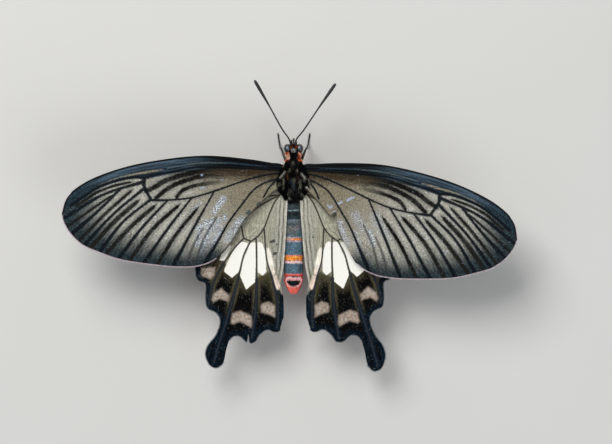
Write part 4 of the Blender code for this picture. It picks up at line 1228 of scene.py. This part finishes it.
PINK_SPOTS = [
    [(17.3, 16.9), (15.8, 16.7), (14.3, 16.7), (14.5, 18.6), (15.4, 19.3), (17.2, 18.6)],
    [(15.1, 23.8), (14.7, 22.5), (13.0, 21.2), (11.2, 22.9), (11.5, 24.2), (13.4, 23.6), (14.7, 24.4)],
    [(11.0, 28.6), (10.6, 26.8), (8.9, 26.2), (6.5, 27.3), (6.3, 28.6), (6.5, 29.9), (8.9, 28.6),
     (10.6, 29.2)],
    [(4.5, 25.5), (4.3, 24.7), (2.8, 24.2), (1.3, 25.1), (1.3, 27.7), (2.8, 27.0), (4.3, 26.6)],
]


def with_tail(line, side):
    """Draw a hindwing line out by the extra length of the tail on its side."""
    share = [(v - TAIL_START[1]) / TAIL_LENGTH if u > TAIL_START[0] else 0.0 for u, v in line]
    return [(u, v + TAIL_EXTRA[side] * min(max(part, 0.0), 1.0)) for (u, v), part in zip(line, share)]


def hindwing_height(u, v):
    """Rise of the hindwing's middle surface above its hinge."""
    start, bend = HINDWING_DROOP
    return HINDWING_RISE * u - bend * np.maximum(v - start, 0.0) ** 2


def hindwing_fields(flat, upper):
    """What the hindwing's finish reads at each point of its plan, in millimetres or shares."""
    return {
        "vein": line_distance(flat, hind_veins),
        "pale": area_distance(flat, PALE_AREA),
        "white": np.min([area_distance(flat, patch) for patch in WHITE_PATCHES], axis=0),
        "cream": np.min([area_distance(flat, patch) for patch in CREAM_PATCHES], axis=0),
        "spot": np.min([area_distance(flat, spot) for spot in PINK_SPOTS], axis=0),
        "edge": line_distance(flat, [np.concatenate([edge_line, edge_line[:1]])]),
        "back": flat[:, 1],
        "out": flat[:, 0],
        "under": (~upper).astype(float),
        "fleck": mark_strength(flat, HINDWING_FLECKS[side]),
        "inner": line_distance(flat, [HINDWING_INNER_EDGE]),
    }


velvet = Finish("hindwing_scales", Specular_IOR_Level=0.045)
vein, pale, white, cream = velvet.fields("vein", "pale", "white", "cream")
spot, edge, back, out, under = velvet.fields("spot", "edge", "back", "out", "under")
fleck, inner = velvet.fields("fleck", "inner")
lie = velvet.add("ShaderNodeCombineXYZ", {0: out, 1: back * 0.1, 2: vein}).outputs[0]
strokes = velvet.grain(0.35, 2.0, along=lie)
dusting = velvet.grain(0.26, 3.0)
clumps = velvet.grain(0.55, 3.0)
ragged = (clumps - 0.5) * 1.3
# grey-brown scales with long darker strokes, greyer towards the body, and beside it wavy stripes of painted
# shade and painted light where the wing is folded
tint = velvet.mix(velvet.ease(strokes, 0.35, 0.68), colour(138, 135, 117), colour(187, 185, 166))
tint = velvet.mix(velvet.ease(out, 3.4, 0.8, 0.0, 0.65), tint, colour(154, 155, 146))
tint = velvet.mix(velvet.ease(back, 11.0, 5.0, 0.0, 0.5), tint, colour(176, 174, 156))
bending = inner * 7.2 + velvet.grain(4.0, 1.0) * 5.0
painted_fold_wave = velvet.number("SINE", bending)
nearby = velvet.ease(inner, 3.0, 1.2) * velvet.ease(velvet.grain(2.4, 1.0), 0.36, 0.6, 0.45, 1.0)
painted_fold_shade = velvet.ease(painted_fold_wave, 0.4, 0.95, 0.0, 0.9) * nearby
painted_fold_light = velvet.ease(painted_fold_wave, -0.3, -0.95, 0.0, 0.6) * nearby
tint = velvet.mix(painted_fold_shade, tint, colour(88, 80, 64))
tint = velvet.mix(painted_fold_light, tint, colour(206, 205, 196))
worn = velvet.ease(velvet.grain(1.6, 1.0), 0.38, 0.56, 0.25, 1.0)
rim_share = velvet.ease(inner, 0.45, 0.2, 0.0, 0.8) * worn
tint = velvet.mix(rim_share, tint, colour(214, 208, 196))
tint = velvet.mix(velvet.ease(pale, -2.0, -0.2, 0.0, 0.45), tint, colour(120, 110, 80))
tint = velvet.scaled(tint, velvet.ease(dusting, 0.28, 0.72, 0.76, 1.22))
tint = velvet.mix(velvet.ease(fleck + ragged, 0.3, 0.7, 0.0, 0.85), tint, colour(44, 48, 46))
# velvet black bays, olive-brown beside the veins and next to the pale area
away = vein + ragged * 0.5
brown = velvet.ease(away, 1.2, 0.45, 0.0, 0.9) * velvet.ease(back, 29.0, 23.0)
brown = velvet.number("MAXIMUM", brown, velvet.ease(pale + ragged, 3.2, 0.4, 0.0, 0.9))
bay = velvet.mix(brown, colour(5, 5, 5), colour(78, 73, 53))
# blue-black near the edge and along the veins towards the tail: black scales with a blue tone that is partly
# a painted sheen of the sky
blue = velvet.mix(velvet.ease(strokes, 0.4, 0.7), colour(2, 7, 12), colour(12, 32, 46))
bay = velvet.mix(velvet.ease(edge + ragged * 0.6, 1.7, 0.5), bay, blue)
strip = velvet.mix(velvet.ease(back, 17.0, 25.0), colour(34, 43, 48), colour(6, 24, 38))
beside = vein + ragged * 0.1 - velvet.ease(back, 19.0, 32.0, 0.0, 0.3)
bay = velvet.mix(velvet.ease(beside, 0.4, 0.22, 0.0, 0.94), bay, strip)
mote = velvet.ease(velvet.grain(0.22, 0.0), 0.75, 0.8) * 0.5
bay = velvet.scaled(bay, velvet.ease(dusting, 0.25, 0.75, 0.75, 1.25))
bay = velvet.mix(mote, bay, colour(150, 152, 150))
tint = velvet.mix(velvet.ease(pale + ragged * 0.5, -0.3, 0.5), tint, bay)
# white and cream patches
patch = velvet.ease(cream + ragged * 0.3, 0.16, -0.3)
pinkish = velvet.mix(velvet.ease(back, 16.0, 19.0), colour(255, 249, 234), colour(247, 225, 207))
lines = velvet.ease(strokes, 0.42, 0.6, 0.72, 1.06)
tint = velvet.mix(patch, tint, velvet.scaled(pinkish, lines))
patch = velvet.ease(white + ragged * 0.16, 0.08, -0.08)
warm = velvet.ease(out, 10.6, 11.4) * velvet.ease(back, 16.5, 15.0)
snow = velvet.mix(dusting, colour(250, 246, 232), colour(255, 255, 252))
snow = velvet.mix(warm, snow, colour(255, 252, 238))
tint = velvet.mix(patch, tint, snow)
# dark scales along the veins
vein_dark = velvet.mix(velvet.ease(back, 6.0, 12.0), colour(66, 58, 46), colour(52, 52, 54))
tint = velvet.mix(velvet.ease(vein, 0.27, 0.1, 0.0, 0.9), tint, vein_dark)
# pink-brown spots, red and larger below
swell = spot - under * 0.5
patch = velvet.ease(swell + ragged * 0.6, 0.32, -0.42)
blush = velvet.mix(velvet.ease(clumps, 0.3, 0.7), colour(142, 130, 117), colour(190, 177, 163))
blush = velvet.mix(velvet.ease(velvet.grain(0.3, 1.0), 0.62, 0.7, 0.0, 0.5), blush, colour(206, 116, 92))
blush = velvet.mix(under, blush, colour(206, 62, 58))
tint = velvet.mix(patch, tint, velvet.scaled(blush, velvet.ease(dusting, 0.28, 0.72, 0.74, 1.2)))
gloss = velvet.ease(dusting, 0.3, 0.7, 0.5, 0.72)
hindwing_finish = velvet.wear(tint, gloss, dusting + strokes, 0.03)

# The hindwing veins. They are thinner tubes than the forewings', brown near the hinge and
# slate-blue towards the tail. The loop makes each membrane, then its veins along the same lines.
cord = Finish("hindwing_vein_chitin", Specular_IOR_Level=0.1)
cord_back = cord.add("ShaderNodeSeparateXYZ", {0: cord.place}).outputs[1]
hinge_back = on_frame.translation.y / MM
cord_dust = cord.grain(0.2, 2.0)
bluer = cord.ease(cord_back, hinge_back + 14.0, hinge_back + 36.0)
cord_tint = cord.mix(bluer, colour(42, 39, 34), colour(20, 38, 52))
hind_vein_finish = cord.wear(
    cord.scaled(cord_tint, cord.ease(cord_dust, 0.3, 0.7, 0.75, 1.25)),
    cord.ease(cord_dust, 0.3, 0.7, 0.45, 0.65),
    cord_dust,
    0.012,
)

HINDWING_VEIN_RADII = (0.075, 0.07)
hind_edges = {}
for side, word in SIDES:
    raised = [line for name, line in HINDWING_VEINS.items() if name != "anal"]
    hind_veins = smooth_lines(with_tail(line, side) for line in raised)
    sweep = HINDWING_SWEEP[side]

    def hindwing_place(flat, layer):
        """Put places of the hindwing's plan where they are on this side of the animal."""
        rise = hindwing_height(*flat.T) + wing_relief(flat, hind_veins, [])
        return on_wing(HINDWING_HINGE, sweep, side, *flat.T, rise + layer - MEMBRANE / 2)

    fringed = with_tail(HINDWING_OUTER_EDGE, side)
    edge_line = wing_outline(with_tail(HINDWING_OUTLINE, side), fringed, HINDWING_NOTCH.get(side))
    hind_edges[side] = edge_line
    name = f"hindwing_membrane_{word}"
    piece = add_membrane(name, cut_plan(edge_line), hindwing_finish, hindwing_place, hindwing_fields)
    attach(piece, "root")
    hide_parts(f"hindwing_{word}")

    veins = bmesh.new()
    for name, line in HINDWING_VEINS.items():
        share = 0.5 if name == "anal" else 1.0
        add_vein(veins, with_tail(line, side), HINDWING_VEIN_RADII, hindwing_place, share)
    piece = add_piece(f"hindwing_veins_{word}", veins, hind_vein_finish)
    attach(piece, "root")


# The coat. Black hair-like scales cover thorax and head and lie back towards the tail, some in
# pale grey-brown streaks; red tufts stand behind the eyes; flat short scales cover the abdomen.
# Each tuft is a thin three-sided blade rooted in the skin, and each region is one joined mesh.
TUFT_CORNERS = [(0, 1, 4, 3), (1, 2, 5, 4), (2, 0, 3, 5), (3, 4, 6), (4, 5, 6), (5, 3, 6), (2, 1, 0)]
TUFT_PATCH = 0.0015            # half the width of a tuft's patch on its bake map
TUFT_ROOT = 0.04               # how deep a tuft starts in the skin
# how a tuft's colour is scaled at its root, middle and tip: painted shade at the root and painted light at
# the tip
TUFT_PAINTED_SHADING = [0.6, 0.6, 0.6, 1.0, 1.0, 1.0, 1.25]
SEED = 7


def map_place(value, low, high):
    """Where a value between two limits goes on a bake map, a little in from the map's edges."""
    return (value - low) / (high - low) * 0.98 + 0.01


def backward(aside, up):
    """Ways that lead towards the tail, leaning aside and up."""
    return np.stack([aside, np.ones(len(aside)), up], axis=1)


def add_tufts(name, material, roots, outs, ways, lengths, widths, rises, paint, spots):
    """Join tapering tufts into one piece. Each leaves its root along its way and bends over."""
    count = len(roots)
    ways = ways - outs * (ways * outs).sum(axis=1)[:, None]
    ways /= np.linalg.norm(ways, axis=1)[:, None]
    starts = ways * np.cos(rises[0])[:, None] + outs * np.sin(rises[0])[:, None]
    ends = ways * np.cos(rises[1])[:, None] + outs * np.sin(rises[1])[:, None]
    across = np.cross(outs, ways)
    bases = roots - outs * TUFT_ROOT
    middles = bases + starts * (lengths * 0.5)[:, None]
    tips = middles + ends * (lengths * 0.5)[:, None]
    points = np.empty((count, 7, 3))
    for corner in range(3):
        angle = math.pi / 2 + corner * 2 * math.pi / 3
        for first, centres, axis, share in ((0, bases, starts, 1.0), (3, middles, ends, 0.75)):
            up = np.cross(axis, across)
            ring = across * math.cos(angle) + up * math.sin(angle)
            points[:, first + corner] = centres + ring * (widths * share)[:, None]
    points[:, 6] = tips
    faces = []
    for i in range(count):
        faces.extend(tuple(7 * i + corner for corner in face) for face in TUFT_CORNERS)
    mesh = bpy.data.meshes.new(name)
    mesh.from_pydata(points.reshape(-1, 3), [], faces)
    # painted shade at each tuft's root and painted light at its tip
    paint_points(mesh, (paint[:, None, :] * np.array(TUFT_PAINTED_SHADING)[None, :, None]).reshape(-1, 3))
    corners = np.concatenate([np.array(face) for face in TUFT_CORNERS])
    turns = corners * 2 * math.pi / 7
    offsets = TUFT_PATCH * np.stack([np.cos(turns), np.sin(turns)], axis=1)
    bake_map = mesh.uv_layers.new(name="OFBake")
    bake_map.data.foreach_set("uv", (spots[:, None, :] + offsets[None]).ravel())
    return show(name, mesh, material)


fur = Finish("coat", Specular_IOR_Level=0.14)
fibre = fur.grain(0.12, 2.0, stretch=(1.0, 0.25, 1.0))
coat_finish = fur.wear(
    fur.scaled(fur.painted(), fur.ease(fibre, 0.3, 0.7, 0.75, 1.25)),
    fur.ease(fibre, 0.3, 0.7, 0.45, 0.68),
    fibre,
    0.01,
)
STREAK_TAN = colour(150, 146, 128)
BROW_WHITE = colour(206, 208, 200)
STRANDS = [                    # pale strands in the fur of the back: from, to, half width and colour
    (0.5, -1.4, 1.2, -0.5, 0.16, (150, 146, 128)), (1.7, -0.6, 2.6, 0.7, 0.16, (186, 184, 172)),
    (-0.7, -1.1, -0.9, -0.7, 0.14, (150, 146, 128)), (1.9, 0.9, 2.0, 3.0, 0.14, (156, 152, 134)),
    (0.35, 0.9, -0.2, 2.6, 0.16, (104, 116, 122)), (-1.6, -0.3, -2.3, 0.9, 0.16, (190, 190, 180)),
    (-1.4, 1.2, -1.4, 3.0, 0.14, (150, 148, 134)), (3.6, 2.5, 3.2, 3.3, 0.2, (208, 206, 196)),
    (-2.4, 2.7, -2.9, 3.3, 0.2, (208, 206, 196)), (1.2, 0.1, 1.2, 0.9, 0.18, (120, 84, 48)),
    (-0.9, -0.4, -0.8, 0.6, 0.14, (104, 78, 50)), (1.3, 3.9, 1.0, 4.8, 0.14, (140, 138, 126)),
    (-1.6, 4.0, -2.0, 4.5, 0.14, (170, 168, 156)), (3.0, -0.3, 4.3, 0.4, 0.14, (196, 200, 200)),
    (-3.0, -0.5, -4.2, 0.6, 0.14, (196, 200, 200)), (0.2, 2.6, 0.3, 3.8, 0.12, (96, 98, 96)),
]
COATS = {                      # region: Y from and to, count, lengths, widths, rise at root and tip, slot
    "coat_head": (-6.1, -3.3, 5600, (0.28, 0.5), (0.02, 0.032), (0.75, 0.25), "fur_black"),
    "coat_neck": (-3.7, -1.9, 4200, (0.6, 1.0), (0.026, 0.04), (0.5, 0.05), "fur_black"),
    "coat_thorax": (-2.3, 4.9, 18500, (1.0, 1.9), (0.028, 0.045), (0.45, -0.02), "fur_black"),
    "coat_waist": (4.7, 6.5, 3400, (0.4, 0.8), (0.026, 0.04), (0.3, 0.0), "abdomen"),
    "coat_abdomen": (6.3, 23.2, 15600, (0.2, 0.4), (0.03, 0.05), (0.16, 0.02), "abdomen"),
    "coat_tip": (23.0, 26.2, 4200, (0.3, 0.6), (0.028, 0.042), (0.5, 0.3), "abdomen"),
}


def lay_strands(paint, x, y):
    """Colour the tufts whose roots lie along the pale strands of the back."""
    for *ends, half, tint in STRANDS:
        gap = mark_distance(np.stack([x, y], axis=1), ends[:2], ends[2:])
        near = ease(half, half * 0.6, gap) * (chance.uniform(0, 1, len(x)) < 0.85)
        paint += (colour(*tint) - paint) * near[:, None]


chance = np.random.default_rng(SEED)
for name, (start, end, count, lengths, widths, rises, slot) in COATS.items():
    y = chance.uniform(start, end, 3 * count)
    keep = chance.uniform(0, 2.9, 3 * count) < body_size(y)[0] + body_size(y)[1] * 0.3
    y = y[keep][:count]
    angle = chance.uniform(-math.pi, math.pi, len(y))
    roots, outs = on_body(y, angle)
    n = len(y)
    paint = body_paint(roots)
    if name == "coat_waist":
        paint[:] = FUR_BLACK
    if slot == "fur_black" or name == "coat_waist":
        pale = noise_at(roots, (2.1, 0.55, 1.2))
        share = ease(0.34, 0.46, pale) * (paint.max(axis=1) < 0.02) * (y > -3.4)
        paint += (STREAK_TAN - paint) * (share * chance.uniform(0.3, 0.9, n))[:, None]
        top = roots[:, 2] > body_size(y)[2]
        lay_strands(paint, roots[:, 0], np.where(top, y, 99.0))
    if name == "coat_head":
        aside = np.abs(roots[:, 0])
        brow = (aside < 0.5) & (np.abs(y + 4.9) < 0.45 - 0.3 * aside) & (roots[:, 2] > 11)
        paint[brow & (chance.uniform(0, 1, n) < 0.6)] = BROW_WHITE
        front = np.hypot(aside - 0.55, (y + 5.8) * 0.8) < 0.4
        paint[front & (chance.uniform(0, 1, n) < 0.6)] = CHEEK_RED * 0.8
    paint *= chance.uniform(0.7, 1.3, n)[:, None]
    if slot == "abdomen":
        paint *= np.where(chance.uniform(0, 1, n) < 0.06, 1.7, 1.0)[:, None]
    ways = backward(chance.normal(0, 0.22, n) + roots[:, 0] * 0.12, chance.normal(0, 0.2, n))
    spread = chance.uniform(0.8, 1.2, n)
    rises = (rises[0] * spread, rises[1] * spread)
    lengths = chance.uniform(*lengths, n)
    widths = chance.uniform(*widths, n)
    spots = np.stack([map_place(angle, -math.pi, math.pi), map_place(y, start, end)], axis=1)
    piece = add_tufts(name, coat_finish, roots, outs, ways, lengths, widths, rises, paint, spots)
    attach(piece, "root")


# The cheek tufts. Behind each eye a brush of longer orange-red hairs stands out sideways from
# the neck, with paler tips.
CHEEKS = 1700
CHEEK_FROM = (-4.7, -2.5)
CHEEK_AROUND = (0.85, 1.9)     # radians from the middle of the back
CHEEK_CREAM = colour(246, 226, 200)
CHEEK_ORANGE = colour(232, 104, 34)

for side, word in SIDES:
    y = chance.uniform(*CHEEK_FROM, CHEEKS)
    angle = side * chance.uniform(*CHEEK_AROUND, CHEEKS)
    roots, outs = on_body(y, angle)
    ways = backward(chance.normal(side * 0.5, 0.25, CHEEKS), chance.normal(0, 0.25, CHEEKS))
    clump = noise_at(roots, (2.2, 1.5, 2.2), (9.0 * side, 0.0, 0.0))
    clump += chance.normal(0, 0.08, CHEEKS) + 0.6 * (np.abs(angle) - 1.25)
    paint = np.tile(CHEEK_ORANGE, (CHEEKS, 1))
    paint[clump > 0.06] = CHEEK_CREAM
    paint[clump < -0.26] = FUR_BLACK
    paint[(clump > -0.26) & (clump < -0.16)] = CHEEK_RED * 0.8
    paint = paint * chance.uniform(0.6, 1.15, CHEEKS)[:, None]
    spots = np.stack([np.abs(angle) / 2, (y + 5) / 3], axis=1)
    rises = (chance.uniform(0.7, 1.2, CHEEKS), chance.uniform(0.4, 0.9, CHEEKS))
    lengths = chance.uniform(0.7, 1.3, CHEEKS)
    widths = chance.uniform(0.024, 0.036, CHEEKS)
    name = f"cheek_tuft_{word}"
    piece = add_tufts(name, coat_finish, roots, outs, ways, lengths, widths, rises, paint, spots)
    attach(piece, "root")


# The shoulder hair. It grows over the root of each wing, lies back and outwards over the bases
# of the veins, and hides the hinges. It is black with a few pale strands.
SHOULDER_HAIRS = {"forewing": 6500, "hindwing": 3000}
SHOULDER_ROOTS = {             # Y, and how far out from the middle of the body the roots go
    "forewing": [(-2.3, 1.7), (-1.2, 2.4), (0.5, 2.9), (2.0, 3.1), (3.1, 2.9), (3.6, 2.4)],
    "hindwing": [(2.6, 2.9), (3.4, 3.1), (4.2, 2.2), (5.2, 1.6)],
}
SHOULDER_INNER = 1.2

for kind, count in SHOULDER_HAIRS.items():
    rows = SHOULDER_ROOTS[kind]
    for side, word in SIDES:
        y = chance.uniform(rows[0][0], rows[-1][0], count)
        breadth = np.interp(y, *zip(*rows)) - SHOULDER_INNER
        x = SHOULDER_INNER + breadth * chance.uniform(0, 1, count) ** 0.8
        if kind == "forewing":
            hinge, sweep = FOREWING_HINGES[side], FOREWING_SWEEP[side]
            z = hinge[2] + forewing_height(x - hinge[0], y)
        else:
            z = HINDWING_HINGE[2] + hindwing_height(x - HINDWING_HINGE[0], y - HINDWING_HINGE[1])
        under = chance.uniform(0, 1, count) < 0.25
        roots = np.stack([side * x, y, z + np.where(under, -0.03, 0.03)], axis=1)
        outs = np.tile([0.0, 0.0, 1.0], (count, 1)) * np.where(under, -1.0, 1.0)[:, None]
        lean = 0.1 + 0.75 * (x - SHOULDER_INNER) / 1.9
        ways = backward(side * (lean + chance.normal(0, 0.22, count)), np.zeros(count))
        pale = noise_at(np.stack([x, y, z], axis=1), (2.2, 0.7, 0.0), (0.0, 0.0, 3.0 + side))
        paint = np.tile(FUR_BLACK, (count, 1))
        paint += (STREAK_TAN - paint) * (ease(0.36, 0.46, pale) * chance.uniform(0.3, 0.9, count))[:, None]
        lay_strands(paint, side * x, y)
        lengths = chance.uniform(0.7, 1.35, count)
        rises = (chance.uniform(0.25, 0.7, count), chance.uniform(-0.05, 0.12, count))
        widths = chance.uniform(0.026, 0.042, count)
        spots = np.stack([x / 4, map_place(y, rows[0][0], rows[-1][0])], axis=1)
        name = f"{kind}_shoulder_{word}"
        piece = add_tufts(name, coat_finish, roots, outs, ways, lengths, widths, rises, paint, spots)
        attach(piece, "root")


# The wing fringes. A single row of narrow scales stands out from the outer edge of each wing
# like the nap on the edge of felt, pale on the forewings and mostly dark on the hindwings.
FRINGE_STEP = 0.028
FRINGE_PALE = colour(222, 208, 214)
FRINGE_DARK = colour(44, 50, 58)
FRINGE_GREY = colour(150, 154, 158)

for side, word in SIDES:
    fore_edge = wing_outline(FOREWING_OUTLINE, FOREWING_OUTER_EDGE, None)
    fore_lines = (fine_veins, fine_pleats)
    hind_lines = (smooth_lines(with_tail(line, side) for line in HINDWING_VEINS.values()), [])
    rows = {
        "forewing": (fore_edge, fore_lines, FRINGE_PALE, FOREWING_HINGES[side], FOREWING_SWEEP[side]),
        "hindwing": (hind_edges[side], hind_lines, FRINGE_DARK, HINDWING_HINGE, HINDWING_SWEEP[side]),
    }
    for kind, (outline, lines, tint, hinge, sweep) in rows.items():
        loop = np.concatenate([outline, outline[:1]])
        along = run_lengths(loop)
        row = points_along(loop, along, np.arange(0.0, along[-1], FRINGE_STEP))
        ahead = np.gradient(row, axis=0)
        outward = np.stack([ahead[:, 1], -ahead[:, 0]], axis=1) / np.linalg.norm(ahead, axis=1)[:, None]
        if kind == "forewing":
            keep = edge_distance(row, FOREWING_OUTER_EDGE) < 0.6
        else:
            keep = (row[:, 1] > 17.0) & (outward[:, 0] > -0.9)
        row, outward = row[keep], outward[keep]
        n = len(row)
        height = forewing_height if kind == "forewing" else hindwing_height
        rise = height(*row.T) + wing_relief(row, *lines)
        roots = on_wing(hinge, sweep, side, *row.T, rise)
        tips = on_wing(hinge, sweep, side, *(row + outward + chance.normal(0, 0.12, (n, 2))).T, rise)
        spots = map_place(row, row.min(axis=0), row.max(axis=0))
        if kind == "hindwing":
            between = ease(0.7, 1.6, line_distance(row, lines[0]))[:, None]
            tint = tint + (FRINGE_GREY - tint) * between
        paint = tint * chance.uniform(0.7, 1.2, n)[:, None]
        lengths = chance.uniform(0.28, 0.38, n)
        widths = chance.uniform(0.022, 0.034, n)
        rises = (chance.normal(0, 0.12, n), chance.normal(0, 0.12, n))
        outs = np.tile([0.0, 0.0, 1.0], (n, 1))
        ways = tips - roots
        name = f"{kind}_fringe_{word}"
        piece = add_tufts(name, coat_finish, roots, outs, ways, lengths, widths, rises, paint, spots)
        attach(piece, "root")
